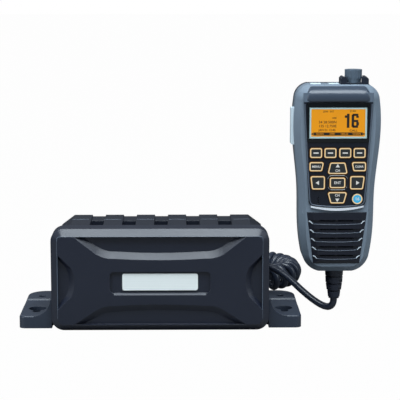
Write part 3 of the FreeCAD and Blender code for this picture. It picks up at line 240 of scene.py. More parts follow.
def make_materials():
    return {
        "panel": finish_of("panel_paint", linear(25, 30, 44), 0.36, 1400, 0.05, 0.1, 0.5, specular=0.6),
        "casting": finish_of("cast_paint", linear(20, 25, 37), 0.42, 1100, 0.1, 0.12, 0.6, specular=0.55),
        "ear": finish_of("ear_paint", linear(42, 50, 64), 0.42, 1100, 0.1, 0.12, 0.7, specular=0.6),
        "plate": brushed("name_plate_metal", linear(244, 250, 246), 0.36, metal=0.05),
        "shell": finish_of("grip_texture", linear(112, 125, 138), 0.5, 2100, 0.35, 0.12, 0.5, lighter=1.7),
        "rear_shell": finish_of("rear_texture", linear(32, 38, 50), 0.5, 2100, 0.3, 0.1, 0.5, lighter=1.3),
        "key_panel": finish_of("key_panel_plastic", linear(18, 22, 32), 0.3, 1800, 0.04, 0.08, 0.25),
        "grille": finish_of("grille_plastic", linear(20, 24, 36), 0.34, 1800, 0.06, 0.08, 0.25),
        "brow": finish_of("brow_plastic", linear(58, 67, 80), 0.28, 1800, 0.04, 0.06),
        "collar": finish_of("collar_gloss", linear(16, 18, 24), 0.16, 900, 0.0, 0.05, coat=0.4),
        # Raised lines along edges and seams, whose light colour is a painted highlight
        "rim": finish_of("painted_edge_highlight", linear(84, 94, 108), 0.32, 1500, 0.02, 0.08),
        # A brighter painted highlight, for the ends of the grille's louvres
        "painted_glint": finish_of("painted_edge_glint", linear(170, 180, 188), 0.3, 1500, 0.02, 0.08),
        "gloss": finish_of(
            "window_gloss", linear(16, 19, 22), 0.08, 900, 0.0, 0.05, 0.2, coat=0.5, lighter=1.0,
        ),
        "lcd_frame": finish_of("screen_frame_paint", linear(176, 200, 198), 0.4, 1500, 0.02, 0.05, 0.15),
        "lcd": lit("screen_light", linear(228, 150, 0), 0.82, linear(220, 143, 0)),
        "ink": finish_of("screen_ink", linear(28, 18, 4), 0.6, 900, 0.0, 0.05),
        "chrome": brushed("trim_metal", linear(236, 240, 246), 0.3, metal=0.2),
        "knob": finish_of("knob_plastic", linear(86, 100, 114), 0.34, 1500, 0.08, 0.1, 0.3),
        "guard": finish_of("guard_plastic", linear(28, 34, 46), 0.38, 1500, 0.08, 0.1, 0.5),
        "grey": finish_of("grey_rubber", linear(196, 210, 218), 0.5, 1700, 0.1, 0.06, 0.4),
        "key": finish_of("key_rubber", linear(34, 37, 38), 0.5, 1700, 0.1, 0.06, 0.2),
        "cream": lit("key_light", linear(250, 222, 172), 0.72),
        "amber": lit("key_light_edge", linear(216, 150, 50), 0.6),
        "blue": lit("blue_key_face", linear(64, 184, 235), 0.7),
        "white": lit("key_lettering", linear(240, 242, 240), 0.6),
        "cord": finish_of("cord_jacket", linear(36, 43, 58), 0.32, 1300, 0.05, 0.1, specular=0.6),
        "relief": finish_of("relief_rubber", linear(30, 36, 50), 0.38, 1300, 0.08, 0.1, 0.3),
        "plug": finish_of("plug_plastic", linear(28, 33, 44), 0.4, 1300, 0.08, 0.1, 0.4),
        "steel": brushed("screw_steel", linear(150, 152, 156), 0.35, EVEN_BRUSH),
        "nickel": brushed("nickel_plate", linear(200, 200, 196), 0.25, EVEN_BRUSH),
        "brass": brushed("brass_metal", linear(196, 160, 92), 0.3, EVEN_BRUSH),
        "rubber": finish_of("seal_rubber", linear(26, 28, 32), 0.7, 900, 0.1, 0.1),
        "board": finish_of("board_mask", linear(24, 92, 52), 0.4, 700, 0.05, 0.2),
        # Black of the inner parts; on the strain relief's slot patches this dark colour is a painted shade
        "dark": finish_of("inner_black_and_slot_shade", linear(22, 26, 34), 0.6, 900, 0.1, 0.1),
    }


# The key panel's part above the screen, painted paler as painted light from above: where it starts, in mm,
# and its colour
BROW_LOW = 176.6
BROW_PAINTED_LIGHT = linear(92, 104, 118)


def paint_light_on_top(material, level, colour):
    """Paints the part of a surface above this height, in mm, a lighter tone that is painted light."""
    tree = material.node_tree
    link = tree.links.new
    base = tree.nodes["Principled BSDF"].inputs["Base Color"]
    below = base.links[0].from_socket
    place = tree.nodes.new("ShaderNodeTexCoord")
    axes = tree.nodes.new("ShaderNodeSeparateXYZ")
    link(place.outputs["Object"], axes.inputs["Vector"])
    above = tree.nodes.new("ShaderNodeMath")
    above.operation = "GREATER_THAN"
    above.inputs[1].default_value = level * MM
    link(axes.outputs["Z"], above.inputs[0])
    link(blend(tree, above.outputs[0], below, colour), base)


FINISHES = {
    "front_panel": "panel", "case": "casting", "rear_cover": "casting", "mounting_base": "ear",
    "name_plate": "plate", "case_gaskets": "rubber", "case_screws": "steel", "base_screws": "steel",
    "board_screws": "steel", "main_board": "board", "power_amplifier": "dark", "thermal_pad": "rubber",
    "shield_can": "nickel", "antenna_socket": "nickel", "power_gland": "rubber",
    "handset_socket": "nickel", "accessory_sockets": "plug", "ground_terminal": "brass",
    "front_shell": "shell", "rear_shell": "rear_shell", "case_seal": "rubber", "handset_screws": "steel",
    "key_panel": "key_panel", "display_window": "gloss", "lcd_frame": "lcd_frame", "lcd_module": "lcd",
    "trim_strip": "chrome", "grille_cover": "grille", "keypad_mat": "rubber", "handset_board": "board",
    "microphone": "nickel", "speaker_mesh": "dark", "speaker": "dark", "encoder": "nickel",
    "knob_seal": "rubber", "volume_knob": "knob", "knob_guard": "guard", "top_switches": "dark",
    "ptt_button": "grey", "ptt_switch": "dark", "hanger_stud": "steel", "top_key_1": "grey",
    "top_key_2": "grey", "strain_relief": "relief", "cord_plug": "plug",
}


def dress_nodes(materials):
    """Every CAD node gets its finish in place of the plain one."""
    for name, node in nodes.items():
        look = FINISHES.get(name, "cord" if name.startswith("cord_") else "key")
        node.data.materials.clear()
        node.data.materials.append(materials[look])
        for polygon in node.data.polygons:
            polygon.material_index = 0


# Cord


def nurbs(name, points, bevel=0.0):
    """A curve object with one open spline of order 3 through control points in metres."""
    data = bpy.data.curves.new(name, "CURVE")
    data.dimensions = "3D"
    spline = data.splines.new("NURBS")
    spline.points.add(len(points) - 1)
    for control, point in zip(spline.points, points):
        control.co = (point[0], point[1], point[2], 1.0)
    spline.order_u = 3
    spline.use_endpoint_u = True
    spline.resolution_u = 3 if bevel else 12
    data.bevel_depth = bevel
    data.bevel_resolution = 5
    data.use_fill_caps = bool(bevel)
    return bpy.data.objects.new(name, data)


def points_on(curve):
    """The points of a curve's line, as Blender works them out. The curve itself is removed."""
    show(curve)
    bpy.context.view_layer.update()
    graph = bpy.context.evaluated_depsgraph_get()
    mesh = bpy.data.meshes.new_from_object(curve.evaluated_get(graph))
    points = [vertex.co.copy() for vertex in mesh.vertices]
    bpy.data.meshes.remove(mesh)
    bpy.data.objects.remove(curve)
    return points


def along(points, shares):
    """Places and headings at these shares of the length of a line of points."""
    lengths = [0.0]
    for a, b in zip(points, points[1:]):
        lengths.append(lengths[-1] + (b - a).length)
    total = lengths[-1]
    result = []
    k = 0
    for part in shares:
        distance = min(max(part * total, 0.0), total)
        while k < len(lengths) - 2 and lengths[k + 1] < distance:
            k += 1
        share = (distance - lengths[k]) / (lengths[k + 1] - lengths[k])
        here = points[k].lerp(points[k + 1], share)
        heading = (points[k + 1] - points[k]).normalized()
        result.append((here, heading))
    return result


def coil_axis_parts():
    """Control points of the curly part's three stretches, in mm on the floor plan, with their turns."""
    sx, sy = COIL_START
    cx, cy = BEND_CENTRE
    tilt = math.asin(BEND_RADIUS / math.hypot(cx - sx, cy - sy)) - math.atan2(cy - sy, cx - sx)
    first = -math.pi / 2 - tilt
    sweep = math.pi + tilt
    outer = BEND_RADIUS / math.cos(sweep / BEND_STEPS / 2)
    bend = []
    for k in range(BEND_STEPS):
        angle = first + sweep * (k + 0.5) / BEND_STEPS
        bend.append((cx + outer * math.cos(angle), cy + outer * math.sin(angle)))
    bend_start = (cx + BEND_RADIUS * math.cos(first), cy + BEND_RADIUS * math.sin(first))
    bend_end = (cx, cy + BEND_RADIUS)
    return [
        ([(sx, sy), ((sx + bend_start[0]) / 2, (sy + bend_start[1]) / 2), bend_start], TURNS_NEAR),
        ([bend_start] + bend + [bend_end], TURNS_BEND),
        ([bend_end, (cx / 2 + COIL_END_X / 2, bend_end[1]), (COIL_END_X, bend_end[1])], TURNS_FAR),
    ]


def curl_points():
    """Control points of the curly part: its turns wound round the axis's own spline."""
    # A spline of order 3 runs inside its control points, so they stand further out by this share
    drawn_in = 0.75 + 0.25 * math.cos(2 * math.pi / POINTS_PER_TURN)
    radius = TURN_RADIUS / drawn_in * MM
    parts = coil_axis_parts()
    result = []
    for n, (plan, turns) in enumerate(parts):
        axis = points_on(nurbs("axis", [(x * MM, y * MM, COIL_AXIS_Z * MM) for x, y in plan]))
        count = turns * POINTS_PER_TURN
        last = n == len(parts) - 1
        shares = [k / count for k in range(count + 1 if last else count)]
        for k, (here, heading) in enumerate(along(axis, shares)):
            angle = 2 * math.pi * k / POINTS_PER_TURN
            side = Vector((-heading.y, heading.x, 0)) * (radius * math.sin(angle))
            result.append(here + side - Vector((0, 0, radius * math.cos(angle))))
    return result


def level_way(start, end):
    """The heading from one point to another on the floor plan."""
    way = end - start
    way.z = 0
    return way.normalized()


def cord_route():
    """Control points of the whole cord in metres: lead, curly part and tail."""
    curls = curl_points()
    start_way = level_way(curls[0], curls[1])
    end_way = level_way(curls[-2], curls[-1])
    curls[0].z = FLOOR_Z * MM
    curls[-1].z = FLOOR_Z * MM
    arrival = curls[0] - start_way * CORD_DIAMETER * MM
    leave = curls[-1] + end_way * CORD_DIAMETER * MM
    points = [Vector(point) * MM for point in LEAD_POINTS]
    points += [arrival - start_way * LEAD_RUN * MM, arrival]
    points += curls
    points += [leave, leave + end_way * TAIL_RUN * MM]
    points += [
        Vector((PLUG_X, PLUG_END_Y + PLUG_RUN, PLUG_Z)) * MM,
        Vector((PLUG_X, PLUG_END_Y, PLUG_Z)) * MM,
    ]
    return points


def make_cord(materials):
    points = cord_route()
    line = points_on(nurbs("measure", points))
    cord = nurbs("handset_cord", points, CORD_DIAMETER / 2 * MM)
    cord.data.materials.append(materials["cord"])
    show(cord)
    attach(cord, "root")
    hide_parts("cord_lead", "cord_coil", "cord_tail")


# Outlines as (x, z) pairs in mm, with x from the handset's middle line

CIRCLE_STEPS = 40


def unit(x, z):
    size = math.hypot(x, z)
    return x / size, z / size


def corner_ways(corners, i):
    """At a corner: the ways to its neighbours, the way between those two, and half their angle."""
    x, z = corners[i]
    after = corners[(i + 1) % len(corners)]
    ax, az = unit(corners[i - 1][0] - x, corners[i - 1][1] - z)
    bx, bz = unit(after[0] - x, after[1] - z)
    half = math.acos(max(-1, min(1, ax * bx + az * bz))) / 2
    return (ax, az), (bx, bz), unit(ax + bx, az + bz), half


def shifted(corners, amount):
    """A convex outline with every side moved outwards, or inwards when the amount is negative."""
    result = []
    for i, (x, z) in enumerate(corners):
        (mx, mz), half = corner_ways(corners, i)[2:]
        move = amount / math.sin(half)
        result.append((x - mx * move, z - mz * move))
    return result


def softened(corners, radius, steps=5):
    """A convex outline with an arc of short sides at each corner."""
    result = []
    for i, (x, z) in enumerate(corners):
        (ax, az), (bx, bz), (mx, mz), half = corner_ways(corners, i)
        cx = x + mx * radius / math.sin(half)
        cz = z + mz * radius / math.sin(half)
        reach = radius / math.tan(half)
        start = math.atan2(z + az * reach - cz, x + ax * reach - cx)
        end = math.atan2(z + bz * reach - cz, x + bx * reach - cx)
        turn = (end - start + math.pi) % (2 * math.pi) - math.pi
        for k in range(steps + 1):
            angle = start + turn * k / steps
            result.append((cx + radius * math.cos(angle), cz + radius * math.sin(angle)))
    return result


def rectangle(x, z, width, height):
    return [
        (x - width / 2, z - height / 2), (x + width / 2, z - height / 2),
        (x + width / 2, z + height / 2), (x - width / 2, z + height / 2),
    ]


def circle(x, z, radius):
    angles = [2 * math.pi * k / CIRCLE_STEPS for k in range(CIRCLE_STEPS)]
    return [(x + radius * math.cos(angle), z + radius * math.sin(angle)) for angle in angles]


def triangle(x, z, size, way):
    """A solid arrow head pointing up, down, left or right."""
    tips = {"up": (0, 1), "down": (0, -1), "left": (-1, 0), "right": (1, 0)}
    dx, dz = tips[way]
    return [
        (x + dx * size, z + dz * size),
        (x - dx * size * 0.6 - dz * size, z - dz * size * 0.6 + dx * size),
        (x - dx * size * 0.6 + dz * size, z - dz * size * 0.6 - dx * size),
    ]


def mirrored(points):
    """The same outline on the other side of the middle line."""
    return [(-x, z) for x, z in reversed(points)]


# Pieces


def at(x, y, z):
    """A place on the handset, from mm about its middle line to metres in the scene."""
    return ((x + HANDSET_X) * MM, y * MM, z * MM)


def add_piece(name, mesh_maker, material, body):
    """Makes a mesh piece that rides on a body. The maker fills a bmesh in metres."""
    mesh = bpy.data.meshes.new(name)
    made = bmesh.new()
    mesh_maker(made)
    bmesh.ops.recalc_face_normals(made, faces=made.faces)
    made.to_mesh(mesh)
    made.free()
    mesh.materials.append(material)
    piece = bpy.data.objects.new(name, mesh)
    show(piece)
    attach(piece, body)
    return piece


def join_rows(made, row, following):
    """Faces between two closed rows of as many points."""
    for i in range(len(row)):
        j = (i + 1) % len(row)
        made.faces.new((row[i], row[j], following[j], following[i]))


def plate_maker(points, front, back):
    """A flat plate with this outline between two depths."""
    def make(made):
        low = [made.verts.new(at(x, back, z)) for x, z in points]
        high = [made.verts.new(at(x, front, z)) for x, z in points]
        made.faces.new(low)
        made.faces.new(high)
        join_rows(made, low, high)
    return make


def ring_maker(outer, inner, front, back, crown=0.0):
    """A band between two outlines with as many points, raised a little along its middle."""
    def make(made):
        middle = [((a[0] + b[0]) / 2, (a[1] + b[1]) / 2) for a, b in zip(outer, inner)]
        levels = (
            (outer, back), (outer, front), (middle, front - crown), (inner, front), (inner, back),
        )
        rows = [[made.verts.new(at(x, y, z)) for x, z in points] for points, y in levels]
        for row, following in zip(rows, rows[1:] + rows[:1]):
            join_rows(made, row, following)
    return make


def add_text(name, words, x, z, y, size, material, body, depth=0.05, wide=1.0, bold=0.0):
    """Raised lettering centred on a place of the handset's face, in mm."""
    data = bpy.data.curves.new(name, "FONT")
    data.body = words
    data.size = size * MM
    data.extrude = depth * MM
    data.offset = bold * MM
    data.align_x = "CENTER"
    data.align_y = "CENTER"
    data.materials.append(material)
    piece = bpy.data.objects.new(name, data)
    piece.location = at(x, y, z)
    piece.rotation_euler = (math.pi / 2, 0, 0)
    piece.scale = (wide, 1, 1)
    show(piece)
    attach(piece, body)
    return piece


def add_line(name, points, radius, material):
    """A fine raised line through these control points, in mm."""
    line = nurbs(name, [Vector(point) * MM for point in points], radius * MM)
    line.data.splines[0].resolution_u = 8
    line.data.bevel_resolution = 3
    line.data.materials.append(material)
    show(line)
    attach(line, "root")


# Keys

SOFT_KEYS_X = (-17.7, -6.1, 5.9, 17.5)
SOFT_KEYS_Z = 135.35
SOFT_KEY_SIZE = (10.0, 8.3)
SOFT_MARK_SIZE = (4.2, 1.0)
MENU_KEY = [(-23.05, 120.3), (-12.6, 120.3), (-10.95, 128.1), (-23.05, 128.1)]
LEFT_KEY = [(-20.8, 105.4), (-10.1, 105.4), (-10.1, 116.6), (-22.3, 116.6)]
UP_KEY = [(-8.35, 118.1), (8.35, 118.1), (6.2, 127.7), (-6.2, 127.7)]
DOWN_KEY = [(-5.6, 93.9), (5.6, 93.9), (8.25, 103.5), (-8.25, 103.5)]
ENTER_KEY_Z = 110.95
ENTER_KEY_SIZE = (12.9, 8.9)
CHANNEL_KEY = (16.2, 97.7, 4.5)

# A key's lit edge: its width, its corners, how far it keeps inside the key, and its amber share
KEY_RING = 1.05
ROUND_KEY_RING = 1.15
KEY_CORNER = 1.6
KEY_CORNER_INSIDE = KEY_CORNER * 0.55
KEY_INSET = 0.02
AMBER_SHARE = 0.24

# Depths of the lit edge and of the marks, against the key's top face
LIGHT_SUNK = 0.45
AMBER_SUNK = 0.05
CREAM_PROUD = 0.1
CREAM_CROWN = 0.12
MARK_Y = KEY_TOP_Y - 0.06
MARK_HALF = 0.05

# Key, text, place and size of the lettering, and key, place and way of the arrows
KEY_WORDS = (
    ("menu_key", "MENU", -17.4, 124.2, 2.5), ("clear_key", "CLEAR", 17.4, 124.2, 2.3),
    ("enter_key", "ENT", 0, ENTER_KEY_Z, 3.0),
)
ARROW_WORDS = (("up_key", "CH", 0, 120.9, 2.7), ("down_key", "CH", 0, 100.6, 2.7))
ARROWS = (
    ("up_key", 0, 124.7, "up"), ("down_key", 0, 97.0, "down"),
    ("left_key", -16.1, 111.0, "left"), ("right_key", 16.1, 111.0, "right"),
)
ARROW_SIZE = 1.7


def key_outlines():
    keys = {}
    for n, x in enumerate(SOFT_KEYS_X):
        keys["soft_key_" + str(n + 1)] = rectangle(x, SOFT_KEYS_Z, *SOFT_KEY_SIZE)
    keys["menu_key"] = MENU_KEY
    keys["clear_key"] = mirrored(MENU_KEY)
    keys["up_key"] = UP_KEY
    keys["left_key"] = LEFT_KEY
    keys["right_key"] = mirrored(LEFT_KEY)
    keys["enter_key"] = rectangle(0, ENTER_KEY_Z, *ENTER_KEY_SIZE)
    keys["down_key"] = DOWN_KEY
    return keys


def key_light(key, outer, inner, materials):
    """The lit edge of a key: an amber line outside and a cream band inside it."""
    between = []
    for a, b in zip(outer, inner):
        between.append((a[0] + (b[0] - a[0]) * AMBER_SHARE, a[1] + (b[1] - a[1]) * AMBER_SHARE))
    low = KEY_TOP_Y + LIGHT_SUNK
    amber = ring_maker(outer, between, KEY_TOP_Y + AMBER_SUNK, low)
    cream = ring_maker(between, inner, KEY_TOP_Y - CREAM_PROUD, low, CREAM_CROWN)
    add_piece(key + "_edge", amber, materials["amber"], key + "_body")
    add_piece(key + "_band", cream, materials["cream"], key + "_body")


def key_mark(key, outline, materials):
    plate = plate_maker(outline, MARK_Y - MARK_HALF, MARK_Y + MARK_HALF)
    add_piece(key + "_mark", plate, materials["white"], key + "_body")


def key_word(key, text, x, z, size, materials):
    word = add_text(
        key + "_word", text, x, z, MARK_Y, size, materials["white"], key + "_body", bold=0.05,
    )


def make_channel_key(materials):
    """The round blue key: its lit edge, its glowing face and its number."""
    x, z, radius = CHANNEL_KEY
    body = "channel_key_body"
    outer = circle(x, z, radius - KEY_INSET)
    inner = circle(x, z, radius - ROUND_KEY_RING)
    key_light("channel_key", outer, inner, materials)
    plate = plate_maker(circle(x, z, radius - 1.2), KEY_TOP_Y - 0.04, KEY_TOP_Y + 0.3)
    add_piece("channel_key_face", plate, materials["blue"], body)
    word = add_text("channel_key_word", "16", x, z, MARK_Y, 3.6, materials["white"], body, bold=0.06)


def make_keys(materials):
    for key, corners in key_outlines().items():
        outer = softened(shifted(corners, -KEY_INSET), KEY_CORNER)
        inner = softened(shifted(corners, -KEY_RING), KEY_CORNER_INSIDE)
        key_light(key, outer, inner, materials)
        if key.startswith("soft"):
            x = sum(corner[0] for corner in corners) / 4
            z = sum(corner[1] for corner in corners) / 4
            key_mark(key, rectangle(x, z, *SOFT_MARK_SIZE), materials)
    for key, text, x, z, size in KEY_WORDS:
        key_word(key, text, x, z, size, materials)
    for key, x, z, way in ARROWS:
        key_mark(key, triangle(x, z, ARROW_SIZE, way), materials)
    for key, text, x, z, size in ARROW_WORDS:
        key_word(key, text, x, z, size, materials)
    make_channel_key(materials)


# Screen

SCREEN_Y = LCD_Y - 0.04
SCREEN_HALF = 0.04

# The strokes of the large number: name, left, right, low and high, in mm
SCREEN_DIGITS = (
    ("one_bar", 6.9, 9.0, 155.7, 167.1), ("one_flag", 5.2, 6.9, 163.8, 165.7),
    ("six_left", 10.7, 12.8, 156.5, 166.3), ("six_top", 11.5, 16.1, 165.3, 167.1),
    ("six_tip", 14.4, 16.5, 163.8, 165.3), ("six_low", 11.5, 16.0, 155.7, 157.6),
    ("six_right", 14.5, 16.7, 157.6, 160.3), ("six_middle", 12.8, 16.1, 160.3, 162.1),
)

# The small lettering: name, text, place, size and width
SCREEN_WORDS = (
    ("top_left", "25W  INT", -8.0, 168.8, 2.1, 1.0),
    ("top_right", "21:04", 11.6, 169.2, 2.1, 1.0),
    ("time", "4:00", -3.2, 163.6, 2.0, 1.0),
    ("row_1", "34 28.500N", -8.6, 160.2, 2.9, 1.05),
    ("row_2", "135 12.750E", -8.6, 157.0, 2.9, 1.0),
    ("row_3", "JAN 01 12:45", -9.0, 153.8, 2.5, 1.0),
    ("row_4", "CALL", 12.4, 153.4, 2.3, 1.2),
)

# The dark bar along the screen's foot, with an arrow head at both ends and four words
BAR_Z = 150.7
BAR_SIZE = (40.0, 2.5)
BAR_END_X = 20.9
BAR_WORDS = ("SCAN", "DW", "HI/LO", "CHAN")
BAR_WORD_X = -14.7
BAR_WORD_PITCH = 9.9


def screen_mark(name, points, materials):
    plate = plate_maker(points, SCREEN_Y - SCREEN_HALF, SCREEN_Y + SCREEN_HALF)
    add_piece("screen_" + name, plate, materials["ink"], "root")


def make_screen(materials):
    ink = materials["ink"]
    for name, left, right, low, high in SCREEN_DIGITS:
        stroke = rectangle((left + right) / 2, (low + high) / 2, right - left, high - low)
        screen_mark(name, stroke, materials)
    for name, text, x, z, size, wide in SCREEN_WORDS:
        word = add_text("screen_" + name, text, x, z, SCREEN_Y, size, ink, "root", 0.04, wide, 0.03)
    screen_mark("bar", rectangle(0, BAR_Z, *BAR_SIZE), materials)
    screen_mark("bar_left", triangle(-BAR_END_X, BAR_Z, 1.0, "left"), materials)
    screen_mark("bar_right", triangle(BAR_END_X, BAR_Z, 1.0, "right"), materials)
    for n, text in enumerate(BAR_WORDS):
        word = add_text(
            "screen_bar_word_" + str(n + 1), text, BAR_WORD_X + n * BAR_WORD_PITCH, BAR_Z,
            SCREEN_Y - 0.06, 2.1, materials["lcd"], "root", 0.03, 1.1, 0.02,
        )


# Trim on the handset's face

# Half of the key panel's edge line, a painted highlight, from its top left down, and its lowest point
PANEL_LINE = [(-27.2, 175.0), (-25.6, 145.0), (-22.6, 101.0), (-22.0, 93.9), (-18.4, 92.2)]
PANEL_LINE_FOOT = (0, 91.0)
PANEL_LINE_RADIUS = 0.45

# The brow's section: height, depth and half width
BROW_PROFILE = (
    (176.5, -9.9, 26.4), (176.8, -10.9, 26.4), (177.6, -11.3, 26.3), (179.2, -11.5, 26.1),
    (181.2, -11.5, 25.8), (183.0, -11.1, 25.4), (184.6, -10.3, 24.9), (186.0, -9.1, 24.2),
    (187.2, -7.7, 23.4), (188.2, -6.2, 22.6), (188.8, -5.0, 22.0), (188.9, -3.4, 21.6),
)
BROW_COLUMNS = 28
BROW_CURL = 1.5
BROW_THICKNESS = 0.9

# The collar round the enter key: outer and inner size and corners
COLLAR_OUTER = ((16.4, 12.4), 3.6)
COLLAR_INNER = ((14.9, 10.9), 2.9)
COLLAR_CORNER_STEPS = 8

# The grille's louvres, whose lips are painted highlight lines, and its half width at its low and high ends
LOUVRES = 5
LOUVRE_FIRST_Z = 79.6
LOUVRE_PITCH = 7.2
LOUVRE_DROP = 2.7
LIP_RADIUS = 0.24
HOOK_RADIUS = 0.4
GRILLE_LOW = 44.0
GRILLE_HIGH = 86.5
GRILLE_HALF_LOW = 19.0
GRILLE_SPREAD = 5.5

# The knob's ribs and the strain relief's slots, dark patches of painted shade, in mm. Each collar is a
# radius and a height.
KNOB_X = 13.3
KNOB_RIBS = 16
KNOB_RIB_RADIUS = 6.65
KNOB_RIB_Z = 197.6
KNOB_RIB_THICKNESS = 0.42
KNOB_RIB_HEIGHT = 6.4
RELIEF_COLLARS = ((7.35, 33.4), (6.95, 27.3), (6.1, 21.2))
RELIEF_SLOTS = 4
RELIEF_SLOT_SIZE = (1.9, 0.5, 1.05)


def brow_rows(made):
    """The brow's front points, row by row, with both ends of each row curling back."""
    rows = []
    for z, y, half in BROW_PROFILE:
        row = []
        for i in range(BROW_COLUMNS + 1):
            u = 2 * i / BROW_COLUMNS - 1
            row.append(made.verts.new(at(u * half, y + BROW_CURL * abs(u) ** 7, z)))
        rows.append(row)
    return rows


def brow_maker(made):
    """The rounded face above the screen: proud at its lower edge and leaning back to the top."""
    rows = brow_rows(made)
    for a, b in zip(rows, rows[1:]):
        for i in range(BROW_COLUMNS):
            made.faces.new((a[i], a[i + 1], b[i + 1], b[i])).smooth = True
    left = [row[0] for row in rows]
    right = [row[-1] for row in reversed(rows[:-1])]
    rim = left + rows[-1][1:] + right + rows[0][-2:0:-1]
    thick = BROW_THICKNESS * MM
    behind = [made.verts.new((vertex.co.x, vertex.co.y + thick, vertex.co.z)) for vertex in rim]
    join_rows(made, rim, behind)
    made.faces.new(behind)


def make_panel_trim(materials):
    """The key panel's raised edge with its painted highlight, the brow and the collar round the enter key.
    """
    line = PANEL_LINE + [PANEL_LINE_FOOT] + mirrored(PANEL_LINE)
    rim = [(x + HANDSET_X, PANEL_Y - 0.05, z) for x, z in line]
    add_line("key_panel_rim_highlight", rim, PANEL_LINE_RADIUS, materials["rim"])
    add_piece("brow", brow_maker, materials["brow"], "root")
    outer, inner = (
        softened(rectangle(0, ENTER_KEY_Z, *size), corner, COLLAR_CORNER_STEPS)
        for size, corner in (COLLAR_OUTER, COLLAR_INNER)
    )
    ring = ring_maker(outer, inner, PANEL_Y - 0.5, PANEL_Y + 0.1, 0.25)
    add_piece("enter_key_collar", ring, materials["collar"], "root")


def grille_half_width(z):
    return GRILLE_HALF_LOW + (z - GRILLE_LOW) / (GRILLE_HIGH - GRILLE_LOW) * GRILLE_SPREAD


def make_louvre_highlights(materials):
    """A fine lip along each louvre of the grille as a painted highlight, with a brighter painted highlight
    hook at both ends.
    """
    for n in range(LOUVRES):
        z = LOUVRE_FIRST_Z - LOUVRE_PITCH * n
        low = z - LOUVRE_DROP
        half = grille_half_width(low) - 0.4
        side = [(-half, -9.5, z - 0.4), (-half + 1.6, -10.1, z - 0.5), (-half + 3.0, -10.8, low + 0.3)]
        middle = [(-half + 5.5, -11.1, low), (0, -11.1, low - 0.7), (half - 5.5, -11.1, low)]
        other = [(-x, y, high) for x, y, high in reversed(side)]
        lip = [(x + HANDSET_X, y, high) for x, y, high in side + middle + other]
        add_line("louvre_lip_highlight_" + str(n + 1), lip, LIP_RADIUS, materials["rim"])
        for sign, end in ((-1, "_right"), (1, "_left")):
            hook = [(sign * x + HANDSET_X, y - 0.1, high) for x, y, high in side]
            name = "louvre_hook_glint_" + str(n + 1) + end
            add_line(name, hook, HOOK_RADIUS, materials["painted_glint"])


def make_knob_ribs(materials):
    """Fine ribs round the upper part of the knob."""
    for n in range(KNOB_RIBS):
        angle = 2 * math.pi * n / KNOB_RIBS

        def make(made, angle=angle):
            thick = KNOB_RIB_THICKNESS * MM
            bmesh.ops.create_cone(
                made, cap_ends=True, segments=8, radius1=thick, radius2=thick, depth=KNOB_RIB_HEIGHT * MM,
            )
            bmesh.ops.translate(made, verts=made.verts, vec=Vector((
                (HANDSET_X + KNOB_X + KNOB_RIB_RADIUS * math.cos(angle)) * MM,
                (CORD_AXIS_Y + KNOB_RIB_RADIUS * math.sin(angle)) * MM, KNOB_RIB_Z * MM,
            )))

        rib = add_piece("knob_rib_" + str(n + 1), make, materials["knob"], "knob_body")


def relief_slot_shade_maker(radius, z, angle):
    """A flat rounded dark patch of painted shade on a collar of the strain relief, at this angle round it.
    """
    wide, deep, tall = RELIEF_SLOT_SIZE

    def make(made):
        bmesh.ops.create_uvsphere(made, u_segments=16, v_segments=10, radius=1.0)
        for vertex in made.verts:
            x = vertex.co.x * wide
            y = vertex.co.y * deep
            up = vertex.co.z * tall
            px = x * math.cos(angle) - (y + radius) * math.sin(angle)
            py = x * math.sin(angle) + (y + radius) * math.cos(angle)
            vertex.co = Vector(((px + HANDSET_X) * MM, (py + CORD_AXIS_Y) * MM, (up + z) * MM))
    return make


def make_relief_slot_shades(materials):
    """Dark patches of painted shade for the slots round the strain relief's collars."""
    for n, (radius, z) in enumerate(RELIEF_COLLARS):
        for k in range(RELIEF_SLOTS):
            angle = math.pi / 4 + k * math.pi / 2
            make = relief_slot_shade_maker(radius, z, angle)
            slot = add_piece("relief_slot_shade_" + str(n) + str(k), make, materials["dark"], "root")


# Fine lines of painted highlight on the box

RIDGES = 6
RIDGE_LEFT = -75.2
RIDGE_PITCH = 27.04
RIDGE_LINE = ((0.6, 74.75), (7.6, 74.8), (14.6, 74.75))
RIDGE_LINE_Y = 25.4
RIDGE_LINE_RADIUS = 0.22
EDGE_X = 80.6
EDGE_LOW = 5.4
EDGE_HIGH = 76.1
EDGE_CORNER = 5.0
EDGE_LINE_Y = -59.6
EDGE_LINE_RADIUS = 0.32


def make_box_highlight_lines(materials):
    """Painted highlight lines: a seam at the rear end of each ridge, and a line along the front panel's
    edge.
    """
    for n in range(RIDGES):
        left = RIDGE_LEFT + n * RIDGE_PITCH
        seam = [(left + x, RIDGE_LINE_Y, z) for x, z in RIDGE_LINE]
        add_line("ridge_seam_highlight_" + str(n + 1), seam, RIDGE_LINE_RADIUS, materials["rim"])
    half = [
        (-EDGE_X, EDGE_LOW + EDGE_CORNER), (-EDGE_X, 40), (-EDGE_X, EDGE_HIGH - EDGE_CORNER),
        (-EDGE_X, EDGE_HIGH), (-EDGE_X + EDGE_CORNER, EDGE_HIGH),
    ]
    loop = half + [(0, EDGE_HIGH)] + mirrored(half)
    edge = [(x, EDGE_LINE_Y, z) for x, z in loop]
    add_line("panel_edge_highlight", edge, EDGE_LINE_RADIUS, materials["rim"])


# Floor and light

FLOOR_HALF = 6.0
FLOOR_DROP = 0.0002
FLOOR_GLOW = 0.985
WHITE = (1, 1, 1, 1)

